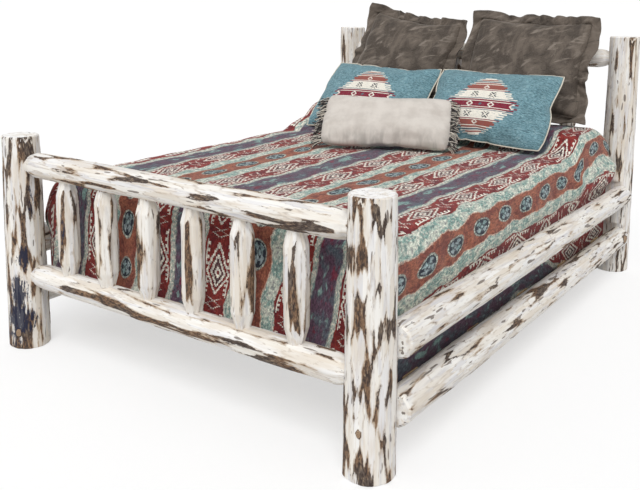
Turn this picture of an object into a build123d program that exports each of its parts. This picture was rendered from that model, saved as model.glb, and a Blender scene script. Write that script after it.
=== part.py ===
"""Rustic log bed for a queen mattress, made up with a coverlet and loose pillows.

Millimetres. +Z is up, +Y runs from the foot to the head and +X is to the right seen from the
foot. The origin is on the floor under the middle of the bed. Peeled logs are joined with round
tenons in blind mortises; the side rails butt on flats milled in the posts and are bolted.
"""

import math
import os

from build123d import *

# ---- posts ----
post_spacing = 1560  # centre to centre across the bed
post_run = 2270  # centre to centre from foot to head
post_radii = [78, 76.5, 74.5, 72, 69.5]  # from the floor up
post_edge = 4
foot_post_height = 820
head_post_height = 1150
rail_flat = 58  # post centre to the flat that a side rail butts on
rail_flat_height = 130

# ---- cross rails of the footboard and the headboard ----
foot_top_z = 716
foot_bottom_z = 287
head_top_z = 1043
head_bottom_z = 614
cross_rail_radius = 49  # nominal; the logs swell and thin a little along their length
foot_top_radii = [49, 50, 48.5, 49.5, 49]
foot_bottom_radii = [49, 48, 49.5, 48.5, 49]
head_top_radii = [47, 47.5, 46.5, 47.5, 47]
head_bottom_radii = [49, 49.5, 48, 49, 49]
drill_start = 5  # a drill starts this far outside the log
cross_tenon_radius = 32
cross_tenon_length = 40
cross_neck_radius = 37
cross_neck_length = 18  # the shoulder sits this deep in a counterbore of the post
cross_shoulder = 58
glue_gap = 0.3
mortise_relief = 2  # room for glue at the bottom of a blind mortise

# ---- spindles ----
spindle_pitch = 208
spindle_count = 6
spindle_radius = 42
spindle_neck_radius = 27.5
spindle_shoulder = 52
spindle_tenon_radius = 19
spindle_tenon_depth = 36
saddle_depth = 6  # flat milled in the bottom rail at each spindle
saddle_radius = 380
saddle_shift = 10  # the saddle runs out further on one side of its spindle
spindle_lift = 3  # the whittled neck ends just clear of the rails
spindle_bellies = [(0.98, 1.0, 1.0, 0.97), (1.0, 1.02, 0.99, 0.98), (0.97, 0.99, 1.02, 1.0)]

# ---- side rails ----
side_rail_shift = 44  # how far the rail's centre stands outside the post's centre
upper_rail_z = 387
lower_rail_z = 181
side_rail_radii = [57.5, 57.0, 54.9, 52.6, 51.5]  # from foot to head
side_rail_bevel = 7
ledger_flat = 46  # lower rail's centre to the flat for the ledger

# ---- rail hardware ----
bolt_shift = 22  # bolt outside the post's centre
bolt_radius = 4.75
bolt_hole_radius = 5.5
bolt_fit = 0.05  # between the bolt and what it's screwed into
bolt_overrun = 6  # beyond the nut
lag_depth = 62
pocket_start = 72  # from the end of the rail
pocket_length = 42
pocket_height = 40
pocket_beyond_bolt = 15
washer_radius = 12.5
washer_thickness = 2
nut_flats = 15
nut_height = 8

# ---- ledgers, slats and legs ----
ledger_width = 45
ledger_height = 60
ledger_half_length = 940
ledger_top_z = 186
ledger_screw_pitch = 400
ledger_screw_count = 5
ledger_edge = 2
slat_width = 89
slat_thickness = 19
slat_half_length = 770
slat_pitch = 440
slat_count = 5
slat_edge = 1.5
slat_screw_spacing = 45
leg_width = 89
leg_depth = 38
leg_edge = 3
screw_radius = 2.5
screw_head_radius = 4.6
screw_head_height = 2.6
ledger_screw_length = 64
slat_screw_length = 45
leg_screw_length = 48
pilot_relief = 2  # a pilot hole runs this far past its screw

# ---- foundation and mattress ----
foundation_width = 1505
foundation_length = 2015
foundation_height = 229
foundation_corner = 22
cloth_thickness = 3
board_thickness = 19
foundation_slat_width = 64
foundation_slat_count = 9
mattress_width = 1510
mattress_length = 2020
mattress_height = 206
mattress_corner = 60
mattress_edge = 58
ply_gap = 0.5  # between soft things that lie on each other, and inside their covers

# ---- coverlet ----
coverlet_thickness = 6
coverlet_hem_z = 210
coverlet_half_width = 763.5
coverlet_foot_y = -1036
coverlet_head_y = 1002
coverlet_shoulder = 66  # radius where the top turns down at the sides
# how the top rolls down at the foot, as (distance from the foot end, drop)
coverlet_foot_roll = [(0, 70), (5, 36), (17, 14), (38, 3), (75, 0)]
bump_height = 84  # over the sleeping pillows
bump_start_y = 540
bump_full_y = 700
bump_fall_y = 900  # it falls again towards the head
bump_end_y = 1040
bump_fall = 0.45

# ---- pillows: their size is width, height and thickness ----
# Their place is x and y of the bottom edge's middle and its height above the coverlet, and then
# their lean above the level, their turn about +Z and their sideways tip, in degrees.
sleeping_size = (700, 400, 76)
sleeping_x = 368
sleeping_end_gap = 4
sham_size = (560, 500, 160)
sham_places = {"left": (-348, 828, 98, 65, -2, 6.5), "right": (366, 820, 90, 63.5, 3, 1)}
sham_flange = 45
sham_flange_thickness = 7
sham_flange_corner = 18
accent_size = (632, 452, 150)
accent_places = {"left": (-319, 462, 18, 44, 0, 0), "right": (321, 468, 18, 43.5, 2, 0)}
lumbar_size = (596, 298, 130)
lumbar_place = (12, 186, 25, 38, 25, 0)
fringe_length = 52
fringe_thickness = 9
fringe_margin = 10
pillow_waist = 0.03
pillow_points = 24
# crowns as (share of the thickness, scale of the outline, squareness of the outline)
full_crown = [(-0.5, 0.5, 2.6), (-0.44, 0.74, 3.2), (-0.27, 0.92, 4.5), (0, 1, 7)]
full_crown += [(-share, scale, power) for share, scale, power in reversed(full_crown[:3])]
resting_crown = [(0, 0.95, 5), (0.1, 1, 7), (0.28, 0.93, 4.5)]
resting_crown += [(0.6, 0.8, 3.4), (0.86, 0.6, 2.8), (1, 0.4, 2.4)]

side = {"left": -1, "right": 1}
end = {"foot": -1, "head": 1}
post_base_radius = post_radii[0]
half_spacing = post_spacing / 2
half_run = post_run / 2
rail_end_y = half_run - rail_flat
side_rail_heights = (lower_rail_z, upper_rail_z)
shoulder_x = half_spacing - post_radii[1]  # where a cross rail's shoulder ends
neck_end_x = shoulder_x + cross_neck_length
tenon_tip_x = neck_end_x + cross_tenon_length
side_rail_x = half_spacing + side_rail_shift
side_rail_foot_radius = side_rail_radii[0]
bolt_x = half_spacing + bolt_shift
ledger_outer_x = side_rail_x - ledger_flat
ledger_inner_x = ledger_outer_x - ledger_width
ledger_screw_z = ledger_top_z - ledger_height / 3
ledger_screw_ys = [
    (i - (ledger_screw_count - 1) / 2) * ledger_screw_pitch for i in range(ledger_screw_count)
]
slat_screw_x = (ledger_inner_x + ledger_outer_x) / 2
slat_top_z = ledger_top_z + slat_thickness
foundation_top_z = slat_top_z + foundation_height
mattress_base_z = foundation_top_z + ply_gap
mattress_top_z = mattress_base_z + mattress_height
coverlet_top_z = mattress_top_z + 2 * ply_gap + coverlet_thickness
spindle_places = [(i - (spindle_count - 1) / 2) * spindle_pitch for i in range(spindle_count)]
slat_places = [(i - (slat_count - 1) / 2) * slat_pitch for i in range(slat_count)]

os.makedirs("parts", exist_ok=True)


def save(piece, label):
    """Labels a finished piece and writes its STEP file."""
    piece.label = label
    export_step(piece, f"parts/{label}.step")


def bore(mouths, direction, radius, depth):
    """Drills round holes from their mouths along a direction.

    The drill is turned a quarter, so that its seam doesn't run along the log that it meets.
    """
    low = (Align.CENTER, Align.CENTER, Align.MIN)
    with Locations(*[Plane(origin=mouth, z_dir=direction) for mouth in mouths]):
        Cylinder(radius, depth, rotation=(0, 0, 90), align=low, mode=Mode.SUBTRACT)


def upright_plane(x, y, z):
    """A plane whose x is a radius and whose y runs up, for turning upright pieces."""
    return Plane(origin=(x, y, z), x_dir=(1, 0, 0), z_dir=(0, -1, 0))


def crosswise_plane(x, y, z):
    """A plane whose x is a radius and whose y runs along +X."""
    return Plane(origin=(x, y, z), x_dir=(0, 0, 1), z_dir=(0, 1, 0))


def lengthwise_plane(x, y, z):
    """A plane whose x is a radius and whose y runs along +Y."""
    return Plane(origin=(x, y, z), x_dir=(1, 0, 0), z_dir=(0, 0, 1))


def even_points(radii, start, stop):
    """Points of a log's outline: the radii at even steps from start to stop."""
    step = (stop - start) / (len(radii) - 1)
    return [(radius, start + i * step) for i, radius in enumerate(radii)]


# ---- posts ----


def make_post(label, across, along, height, rail_heights):
    """A post with a mortise for each cross rail, and a flat and bolt hole for each side rail."""
    x = across * half_spacing
    y = along * half_run
    outline = even_points(post_radii, post_edge, height - post_edge)
    turning = upright_plane(x, y, 0)
    with BuildSketch(turning) as half:
        with BuildLine():
            Polyline((0, height), (0, 0), (post_base_radius - post_edge, 0), outline[0])
            Spline(*outline)
            Polyline(outline[-1], (post_radii[-1] - post_edge, height), (0, height))
        make_face()
    with BuildPart() as post:
        revolve(half.sketch, axis=Axis((x, y, 0), (0, 0, 1)))
        mouth_x = half_spacing - post_base_radius - drill_start
        mouths = [(across * mouth_x, y, z) for z in rail_heights]
        mortise_depth = tenon_tip_x + mortise_relief - mouth_x
        bore(mouths, (across, 0, 0), cross_tenon_radius + glue_gap, mortise_depth)
        seat_depth = neck_end_x + glue_gap - mouth_x
        bore(mouths, (across, 0, 0), cross_neck_radius + glue_gap, seat_depth)
        cut = post_base_radius
        with Locations(*[(x, y - along * (rail_flat + cut / 2), z) for z in side_rail_heights]):
            Box(2.2 * post_base_radius, cut, rail_flat_height, mode=Mode.SUBTRACT)
        bolt_mouths = [(across * bolt_x, along * rail_end_y, z) for z in side_rail_heights]
        bore(bolt_mouths, (0, along, 0), bolt_radius + bolt_fit, lag_depth + mortise_relief)
    save(post.part, label)


for across in side:
    make_post(f"foot_post_{across}", side[across], -1, foot_post_height, (foot_bottom_z, foot_top_z))
    make_post(f"head_post_{across}", side[across], 1, head_post_height, (head_bottom_z, head_top_z))


# ---- footboard and headboard ----


def make_cross_rail(label, y, z, radii, spindle_side):
    """A rail between two posts: round tenons, rounded shoulders, and mortises for the spindles.

    spindle_side is 1 where the spindles stand on the rail and -1 where they hang below it.
    """
    length = 2 * tenon_tip_x
    neck = cross_tenon_length + cross_neck_length
    first = neck + cross_shoulder
    body = even_points(radii, first, length - first)
    rise = radii[0] - cross_neck_radius
    near = [
        (cross_neck_radius, neck),
        (cross_neck_radius + 0.55 * rise, neck + 0.2 * cross_shoulder),
        (cross_neck_radius + 0.9 * rise, neck + 0.6 * cross_shoulder),
    ]
    far = [(radius, length - distance) for radius, distance in reversed(near)]
    tenon = [(0, 0), (cross_tenon_radius, 0), (cross_tenon_radius, cross_tenon_length)]
    tenon += [(cross_neck_radius, cross_tenon_length), near[0]]
    with BuildSketch(crosswise_plane(-tenon_tip_x, y, z)) as half:
        with BuildLine():
            Polyline(*tenon)
            Spline(*near, *body, *far)
            Polyline(*[(radius, length - distance) for radius, distance in reversed(tenon)])
            Line((0, length), (0, 0))
        make_face()
    with BuildPart() as rail:
        revolve(half.sketch, axis=Axis((0, y, z), (1, 0, 0)))
        if spindle_side > 0:
            saddle_z = z + cross_rail_radius - saddle_depth + saddle_radius
            for x in spindle_places:
                with Locations(Location((x + saddle_shift, y, saddle_z), (90, 0, 0))):
                    Cylinder(saddle_radius, 3 * cross_rail_radius, mode=Mode.SUBTRACT)
        start = cross_rail_radius + drill_start
        mouths = [(x, y, z + spindle_side * start) for x in spindle_places]
        mortise_depth = drill_start + saddle_depth + spindle_tenon_depth + mortise_relief
        bore(mouths, (0, 0, -spindle_side), spindle_tenon_radius + glue_gap, mortise_depth)
    save(rail.part, label)


def make_spindle(label, x, y, low_rail_z, high_rail_z, belly):
    """A spindle between two rails: a tenon and a whittled cone at each end of a fuller belly."""
    base_z = low_rail_z + cross_rail_radius - saddle_depth - spindle_tenon_depth
    top_z = high_rail_z - cross_rail_radius + saddle_depth + spindle_tenon_depth
    length = top_z - base_z
    first = spindle_tenon_depth + spindle_shoulder
    radii = [spindle_radius * share for share in belly]
    body = even_points(radii, first, length - first)
    with BuildSketch(upright_plane(x, y, base_z)) as half:
        with BuildLine():
            tenon_end = (spindle_tenon_radius, spindle_tenon_depth + spindle_lift)
            neck = (spindle_neck_radius, spindle_tenon_depth + spindle_lift)
            Polyline((0, 0), (spindle_tenon_radius, 0), tenon_end, neck, body[0])
            Spline(*body)
            top = length - spindle_tenon_depth - spindle_lift - saddle_depth
            top_neck = (spindle_neck_radius, top)
            tenon_start = (spindle_tenon_radius, top)
            tenon_tip = (spindle_tenon_radius, length)
            Polyline(body[-1], top_neck, tenon_start, tenon_tip, (0, length), (0, 0))
        make_face()
    with BuildPart() as spindle:
        revolve(half.sketch, axis=Axis((x, y, 0), (0, 0, 1)))
    save(spindle.part, label)


make_cross_rail("footboard_top_rail", -half_run, foot_top_z, foot_top_radii, -1)
make_cross_rail("footboard_bottom_rail", -half_run, foot_bottom_z, foot_bottom_radii, 1)
make_cross_rail("headboard_top_rail", half_run, head_top_z, head_top_radii, -1)
make_cross_rail("headboard_bottom_rail", half_run, head_bottom_z, head_bottom_radii, 1)

for i, x in enumerate(spindle_places):
    belly = spindle_bellies[i % len(spindle_bellies)]
    make_spindle(f"footboard_spindle_{i + 1}", x, -half_run, foot_bottom_z, foot_top_z, belly)
    make_spindle(f"headboard_spindle_{i + 1}", x, half_run, head_bottom_z, head_top_z, belly)


# ---- side rails and their bolts ----


def make_side_rail(label, across, z, with_ledger_flat):
    """A rail that tapers to the head, with bevelled ends, bolt holes and nut pockets."""
    x = across * side_rail_x
    length = 2 * rail_end_y
    body = even_points(side_rail_radii, side_rail_bevel, length - side_rail_bevel)
    with BuildSketch(lengthwise_plane(x, -rail_end_y, z)) as half:
        with BuildLine():
            Polyline((0, length), (0, 0), (side_rail_foot_radius - side_rail_bevel, 0), body[0])
            Spline(*body)
            rim = (side_rail_radii[-1] - side_rail_bevel, length)
            Polyline(body[-1], rim, (0, length))
        make_face()
    with BuildPart() as rail:
        revolve(half.sketch, axis=Axis((x, 0, z), (0, 1, 0)))
        for along in end.values():
            mouth = (across * bolt_x, along * rail_end_y, z)
            bore([mouth], (0, -along, 0), bolt_hole_radius, pocket_start + drill_start)
            pocket_y = along * (rail_end_y - pocket_start - pocket_length / 2)
            inner = side_rail_x - side_rail_foot_radius - drill_start
            outer = bolt_x + pocket_beyond_bolt
            with Locations((across * (inner + outer) / 2, pocket_y, z)):
                Box(outer - inner, pocket_length, pocket_height, mode=Mode.SUBTRACT)
        if with_ledger_flat:
            cut = side_rail_foot_radius
            with Locations((across * (ledger_outer_x - cut / 2), 0, z)):
                Box(cut, 2 * ledger_half_length + 4, 2 * cut, mode=Mode.SUBTRACT)
            pilot = ledger_screw_length - ledger_width + pilot_relief
            mouths = [(across * ledger_outer_x, y, ledger_screw_z) for y in ledger_screw_ys]
            bore(mouths, (across, 0, 0), screw_radius, pilot)
    save(rail.part, label)


for across in side:
    make_side_rail(f"side_rail_upper_{across}", side[across], upper_rail_z, False)
    make_side_rail(f"side_rail_lower_{across}", side[across], lower_rail_z, True)

bolt_places = [
    (across * bolt_x, along, z)
    for across in side.values()
    for along in end.values()
    for z in side_rail_heights
]

with BuildPart() as rail_bolts:
    bolt_length = lag_depth + pocket_start + washer_thickness + nut_height + bolt_overrun
    for x, along, z in bolt_places:
        with Locations(Plane(origin=(x, along * (rail_end_y + lag_depth), z), z_dir=(0, -along, 0))):
            Cylinder(bolt_radius, bolt_length, align=(Align.CENTER, Align.CENTER, Align.MIN))
save(rail_bolts.part, "rail_bolts")

with BuildPart() as rail_washers:
    for x, along, z in bolt_places:
        with Locations(Plane(origin=(x, along * (rail_end_y - pocket_start), z), z_dir=(0, -along, 0))):
            Cylinder(washer_radius, washer_thickness, align=(Align.CENTER, Align.CENTER, Align.MIN))
            Cylinder(bolt_hole_radius, 3 * washer_thickness, mode=Mode.SUBTRACT)
save(rail_washers.part, "rail_washers")

with BuildPart() as rail_nuts:
    for x, along, z in bolt_places:
        seat_y = along * (rail_end_y - pocket_start - washer_thickness)
        with BuildSketch(Plane(origin=(x, seat_y, z), z_dir=(0, -along, 0))):
            RegularPolygon(nut_flats / 2, 6, major_radius=False)
            Circle(bolt_radius + bolt_fit, mode=Mode.SUBTRACT)
        extrude(amount=nut_height)
save(rail_nuts.part, "rail_nuts")


# ---- ledgers, slats and legs ----


def countersunk_screws(places, length):
    """Flat-head screws, given as pairs of the head's place and the direction that it is driven."""
    with BuildPart() as screws:
        for place, direction in places:
            with Locations(Plane(origin=place, z_dir=direction)):
                low = (Align.CENTER, Align.CENTER, Align.MIN)
                Cone(screw_head_radius, screw_radius, screw_head_height, align=low)
                Cylinder(screw_radius, length, align=low)
    return screws.part


def countersink(place, direction, depth):
    """The hole that a flat-head screw fills, drilled through a board."""
    with Locations(Plane(origin=place, z_dir=direction)):
        low = (Align.CENTER, Align.CENTER, Align.MIN)
        Cone(screw_head_radius, screw_radius, screw_head_height, align=low, mode=Mode.SUBTRACT)
        Cylinder(screw_radius, depth, align=low, mode=Mode.SUBTRACT)


for name, across in side.items():
    with BuildPart() as ledger:
        middle_x = across * (ledger_inner_x + ledger_outer_x) / 2
        with Locations((middle_x, 0, ledger_top_z - ledger_height / 2)):
            Box(ledger_width, 2 * ledger_half_length, ledger_height)
        chamfer(ledger.edges().filter_by(Axis.Y), ledger_edge)
        for y in ledger_screw_ys:
            countersink((across * ledger_inner_x, y, ledger_screw_z), (across, 0, 0), ledger_width + 1)
        steps = [y + step * slat_screw_spacing / 2 for y in slat_places for step in (-1, 1)]
        mouths = [(across * slat_screw_x, y, slat_top_z) for y in steps]
        bore(mouths, (0, 0, -1), screw_radius, slat_screw_length + pilot_relief)
    save(ledger.part, f"support_ledger_{name}")

ledger_screw_places = [
    ((across * ledger_inner_x, y, ledger_screw_z), (across, 0, 0))
    for across in side.values()
    for y in ledger_screw_ys
]
save(countersunk_screws(ledger_screw_places, ledger_screw_length), "ledger_screws")

leg_places = slat_places[1:-1]
for i, y in enumerate(slat_places):
    with BuildPart() as slat:
        with Locations((0, y, ledger_top_z + slat_thickness / 2)):
            Box(2 * slat_half_length, slat_width, slat_thickness)
        chamfer(slat.edges().filter_by(Axis.X), slat_edge)
        for across in side.values():
            for step in (-1, 1):
                place = (across * slat_screw_x, y + step * slat_screw_spacing / 2, slat_top_z)
                countersink(place, (0, 0, -1), slat_thickness + 1)
        if y in leg_places:
            for step in (-1, 1):
                place = (step * leg_width / 4, y, slat_top_z)
                countersink(place, (0, 0, -1), slat_thickness + 1)
    save(slat.part, f"mattress_slat_{i + 1}")

slat_screw_places = [
    ((across * slat_screw_x, y + step * slat_screw_spacing / 2, slat_top_z), (0, 0, -1))
    for across in side.values()
    for y in slat_places
    for step in (-1, 1)
]
save(countersunk_screws(slat_screw_places, slat_screw_length), "slat_screws")

for i, y in enumerate(leg_places):
    with BuildPart() as leg:
        with Locations((0, y, ledger_top_z / 2)):
            Box(leg_width, leg_depth, ledger_top_z)
        chamfer(leg.edges().filter_by(Axis.Z), leg_edge)
        mouths = [(step * leg_width / 4, y, slat_top_z) for step in (-1, 1)]
        bore(mouths, (0, 0, -1), screw_radius, leg_screw_length + pilot_relief)
    save(leg.part, f"centre_leg_{i + 1}")

leg_screw_places = [
    ((step * leg_width / 4, y, slat_top_z), (0, 0, -1))
    for y in leg_places
    for step in (-1, 1)
]
save(countersunk_screws(leg_screw_places, leg_screw_length), "leg_screws")


# ---- foundation ----

cover_wall = cloth_thickness + ply_gap
inner_width = foundation_width - 2 * cover_wall
inner_length = foundation_length - 2 * cover_wall
foundation_middle_z = slat_top_z + foundation_height / 2
board_height = foundation_height - 2 * cover_wall - board_thickness

with BuildPart() as foundation_cover:
    with Locations((0, 0, foundation_middle_z)):
        Box(foundation_width, foundation_length, foundation_height)
    fillet(foundation_cover.edges().filter_by(Axis.Z), foundation_corner)
    outside = (foundation_width, foundation_length, foundation_height)
    with Locations((0, 0, foundation_middle_z)):
        Box(*[size - 2 * cloth_thickness for size in outside], mode=Mode.SUBTRACT)
save(foundation_cover.part, "foundation_cover")

board_middle_z = slat_top_z + cover_wall + board_height / 2
with BuildPart() as foundation_side_boards:
    for across in side.values():
        board_x = across * (inner_width - board_thickness) / 2
        with Locations((board_x, 0, board_middle_z)):
            Box(board_thickness, inner_length, board_height)
save(foundation_side_boards.part, "foundation_side_boards")

with BuildPart() as foundation_end_boards:
    for along in end.values():
        board_y = along * (inner_length - board_thickness) / 2
        with Locations((0, board_y, board_middle_z)):
            Box(inner_width - 2 * board_thickness, board_thickness, board_height)
save(foundation_end_boards.part, "foundation_end_boards")

with BuildPart() as foundation_top_slats:
    pitch = (inner_length - foundation_slat_width) / (foundation_slat_count - 1)
    for i in range(foundation_slat_count):
        y = (i - (foundation_slat_count - 1) / 2) * pitch
        with Locations((0, y, board_middle_z + (board_height + board_thickness) / 2)):
            Box(inner_width, foundation_slat_width, board_thickness)
save(foundation_top_slats.part, "foundation_top_slats")


# ---- mattress ----

with BuildPart() as mattress:
    with Locations((0, 0, mattress_base_z + mattress_height / 2)):
        Box(mattress_width, mattress_length, mattress_height)
    fillet(mattress.edges().filter_by(Axis.Z), mattress_corner)
    rims = mattress.faces().sort_by(Axis.Z)
    fillet(rims[0].edges() + rims[-1].edges(), mattress_edge)
save(mattress.part, "mattress")


# ---- pillows ----


def pillow_outline(width, height, scale, power):
    """Points of a pillow's outline: a squared oval whose sides pull in between the corners."""
    points = []
    for i in range(pillow_points):
        angle = 2 * math.pi * (i + 0.5) / pillow_points
        reach_x = math.copysign(abs(math.cos(angle)) ** (2 / power), math.cos(angle))
        reach_y = math.copysign(abs(math.sin(angle)) ** (2 / power), math.sin(angle))
        waist = 1 - pillow_waist * (1 - min(abs(reach_x), abs(reach_y)))
        points.append((scale * waist * reach_x * width / 2, scale * waist * reach_y * height / 2))
    return points


def crowned_pillow(plane, size, crown):
    """A stuffed pillow: thin at its seam and full in the middle, with its seam near the plane."""
    width, height, thickness = size
    with BuildPart() as pillow:
        for share, scale, power in crown:
            with BuildSketch(plane.offset(share * thickness)):
                with BuildLine():
                    Spline(*pillow_outline(width, height, scale, power), periodic=True)
                make_face()
        loft()
    return pillow.part


def leaning_plane(place, height):
    """The plane in the middle of a leaning pillow: its x runs across the pillow, its y up it."""
    x, y, lift, lean, turn, tip = place
    across = Vector(1, 0, 0).rotate(Axis.Z, turn)
    level = Vector(0, 1, 0).rotate(Axis.Z, turn)
    rise = math.radians(lean)
    up = level * math.cos(rise) + Vector(0, 0, 1) * math.sin(rise)
    middle = Vector(x, y, coverlet_top_z + lift) + up * (height / 2)
    return Plane(origin=middle, x_dir=across, z_dir=across.cross(up)).rotated((0, 0, -tip))


def make_sham(name, place):
    """A square sham: a crowned pillow, and the flange that is sewn on all round its seam."""
    width, height, _ = sham_size
    plane = leaning_plane(place, height + 2 * sham_flange)
    save(crowned_pillow(plane, sham_size, full_crown), f"sham_{name}")
    with BuildPart() as flange:
        with BuildSketch(plane.offset(-sham_flange_thickness / 2)):
            whole = (width + 2 * sham_flange, height + 2 * sham_flange)
            RectangleRounded(*whole, sham_flange_corner)
            with BuildLine():
                _, scale, power = full_crown[3]
                Spline(*pillow_outline(width + 2, height + 2, scale, power), periodic=True)
            make_face(mode=Mode.SUBTRACT)
        extrude(amount=sham_flange_thickness)
    save(flange.part, f"sham_flange_{name}")


sleeping_y = coverlet_head_y - sleeping_end_gap - sleeping_size[1] / 2
for name, across in side.items():
    plane = Plane(origin=(across * sleeping_x, sleeping_y, mattress_top_z + ply_gap))
    save(crowned_pillow(plane, sleeping_size, resting_crown), f"sleeping_pillow_{name}")
    make_sham(name, sham_places[name])
    plane = leaning_plane(accent_places[name], accent_size[1])
    save(crowned_pillow(plane, accent_size, full_crown), f"accent_pillow_{name}")

lumbar_plane = leaning_plane(lumbar_place, lumbar_size[1])
save(crowned_pillow(lumbar_plane, lumbar_size, full_crown), "lumbar_pillow")
for name, across in side.items():
    with BuildPart() as fringe:
        with BuildSketch(lumbar_plane.offset(-fringe_thickness / 2)):
            with Locations((across * (lumbar_size[0] + fringe_length) / 2, 0)):
                Rectangle(fringe_length, lumbar_size[1] - 2 * fringe_margin)
        extrude(amount=fringe_thickness)
    save(fringe.part, f"lumbar_fringe_{name}")


# ---- coverlet ----


def smooth_step(value):
    """0 to 1 with level ends."""
    value = min(max(value, 0), 1)
    return value * value * (3 - 2 * value)


def coverlet_top(y):
    """Height of the coverlet's top above its flat level, over the sleeping pillows."""
    rise = smooth_step((y - bump_start_y) / (bump_full_y - bump_start_y))
    fall = smooth_step((y - bump_fall_y) / (bump_end_y - bump_fall_y))
    return bump_height * (rise - bump_fall * fall)


def coverlet_block(inset, stations):
    """The space under the coverlet, smaller by the inset on its top and sides."""
    half_width = coverlet_half_width - inset
    base_z = coverlet_hem_z - inset
    radius = coverlet_shoulder - inset
    with BuildPart() as block:
        for y, drop in stations:
            top = coverlet_top_z - inset + coverlet_top(y) - drop
            with BuildSketch(Plane(origin=(0, y, 0), x_dir=(1, 0, 0), z_dir=(0, -1, 0))):
                with BuildLine():
                    Line((-half_width, top - radius), (-half_width, base_z))
                    Line((-half_width, base_z), (half_width, base_z))
                    Line((half_width, base_z), (half_width, top - radius))
                    RadiusArc((half_width, top - radius), (half_width - radius, top), -radius)
                    Line((half_width - radius, top), (radius - half_width, top))
                    RadiusArc((radius - half_width, top), (-half_width, top - radius), -radius)
                make_face()
        loft(ruled=True)
    return block.part


rise_steps = 7
rise_step = (bump_full_y - bump_start_y) / (rise_steps - 1)
bump_stations = [(bump_start_y + i * rise_step, 0) for i in range(rise_steps)]
fall_steps = 3
fall_step = (coverlet_head_y - bump_fall_y) / fall_steps
bump_stations += [(bump_fall_y + i * fall_step, 0) for i in range(fall_steps + 1)]
outer_stations = [(coverlet_foot_y + y, drop) for y, drop in coverlet_foot_roll] + bump_stations
inner_foot_y = coverlet_foot_y + coverlet_thickness
inner_stations = [(inner_foot_y + y, drop) for y, drop in coverlet_foot_roll] + bump_stations
inner_stations += [(coverlet_head_y + coverlet_thickness, 0)]
outer_block = coverlet_block(0, outer_stations)
inner_block = coverlet_block(coverlet_thickness, inner_stations)
with BuildPart() as coverlet:
    add(outer_block)
    add(inner_block, mode=Mode.SUBTRACT)
save(coverlet.part, "coverlet")
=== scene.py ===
"""Rustic log bed: peeled and whittled logs, a made-up mattress set, a striped coverlet, pillows.

Metres. +Z is up, +Y runs from the foot to the head and +X is to the right seen from the foot.
"""

import math

import bmesh
import bpy
import numpy as np
from mathutils import Matrix, Vector


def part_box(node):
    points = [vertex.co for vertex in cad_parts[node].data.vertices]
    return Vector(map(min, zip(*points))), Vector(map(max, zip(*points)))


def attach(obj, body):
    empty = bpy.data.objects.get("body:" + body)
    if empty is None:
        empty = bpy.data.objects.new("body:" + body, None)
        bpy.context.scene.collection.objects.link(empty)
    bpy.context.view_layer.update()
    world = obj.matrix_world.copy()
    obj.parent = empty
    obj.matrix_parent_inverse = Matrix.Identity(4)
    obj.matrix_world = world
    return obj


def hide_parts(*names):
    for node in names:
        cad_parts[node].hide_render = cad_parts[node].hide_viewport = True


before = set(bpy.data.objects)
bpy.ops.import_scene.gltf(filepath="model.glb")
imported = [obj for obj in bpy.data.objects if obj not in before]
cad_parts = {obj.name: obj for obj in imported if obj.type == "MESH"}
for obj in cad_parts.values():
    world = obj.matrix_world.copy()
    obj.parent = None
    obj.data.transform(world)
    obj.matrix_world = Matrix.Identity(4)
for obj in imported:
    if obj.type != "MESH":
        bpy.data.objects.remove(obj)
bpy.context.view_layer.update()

# ---- sizes that the bed's own drawings give ----
HALF_SPACING = 0.78  # post centre to the middle of the bed, across
HALF_RUN = 1.135  # and along
POST_RADII = (0.078, 0.0765, 0.0745, 0.072, 0.0695)  # from the floor up
POST_EDGE = 0.004
FOOT_POST_HEIGHT = 0.82
HEAD_POST_HEIGHT = 1.15
RAIL_FLAT = 0.058  # post centre to the flat that a side rail butts on
RAIL_FLAT_HALF = 0.065
RAIL_END = HALF_RUN - RAIL_FLAT
SIDE_RAIL_X = HALF_SPACING + 0.044
SIDE_RAIL_HEIGHTS = {"lower": 0.181, "upper": 0.387}
SIDE_RAIL_RADII = (0.0575, 0.057, 0.0549, 0.0526, 0.0515)  # from foot to head
SIDE_RAIL_BEVEL = 0.007
FOOTBOARD_HEIGHTS = (0.287, 0.716)  # of its bottom and top rails
HEADBOARD_HEIGHTS = (0.614, 1.043)
CROSS_NECK = 0.7215  # where a cross rail's neck ends in its post
CROSS_SHOULDER = 0.076  # where the body starts, from the neck's end
CROSS_NECK_RADIUS = 0.037
CROSS_RAIL_RADIUS = 0.049
# how a cross rail swells from its neck: share of the rise, and run from the neck's end
CROSS_SWELL = ((0, 0), (0, 0.018), (0.33, 0.024), (0.58, 0.031), (0.8, 0.042), (0.94, 0.057))
SPINDLE_PLACES = tuple((i - 2.5) * 0.208 for i in range(6))
SPINDLE_RADIUS = 0.042
SPINDLE_NECK = ((0.0275, 0), (0.0285, 0.008))  # radius and run from its end
SPINDLE_SHOULDER = 0.052
SPINDLE_SINK = 0.004  # how far it reaches into the rails' milled places
SADDLE_DEPTH = 0.006
SADDLE_RADIUS = 0.38
SADDLE_SHIFT = 0.01
SADDLE_HALF = 0.09

# how a log turns from its own +Z to its place
ACROSS = Matrix(((0, 0, 1, 0), (0, -1, 0, 0), (1, 0, 0, 0), (0, 0, 0, 1)))
LENGTHWISE = Matrix(((0, 1, 0, 0), (0, 0, 1, 0), (1, 0, 0, 0), (0, 0, 0, 1)))


# ---- finishes ----


class Value:
    """A shader's output, which adds up and multiplies as a number does."""

    def __init__(self, finish, socket):
        self.finish = finish
        self.socket = socket

    def __add__(self, other):
        return self.finish.math("ADD", self, other)

    def __sub__(self, other):
        return self.finish.math("SUBTRACT", self, other)

    def __mul__(self, other):
        return self.finish.math("MULTIPLY", self, other)

    def __truediv__(self, other):
        return self.finish.math("DIVIDE", self, other)

    def __abs__(self):
        return self.finish.math("ABSOLUTE", self)


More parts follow.
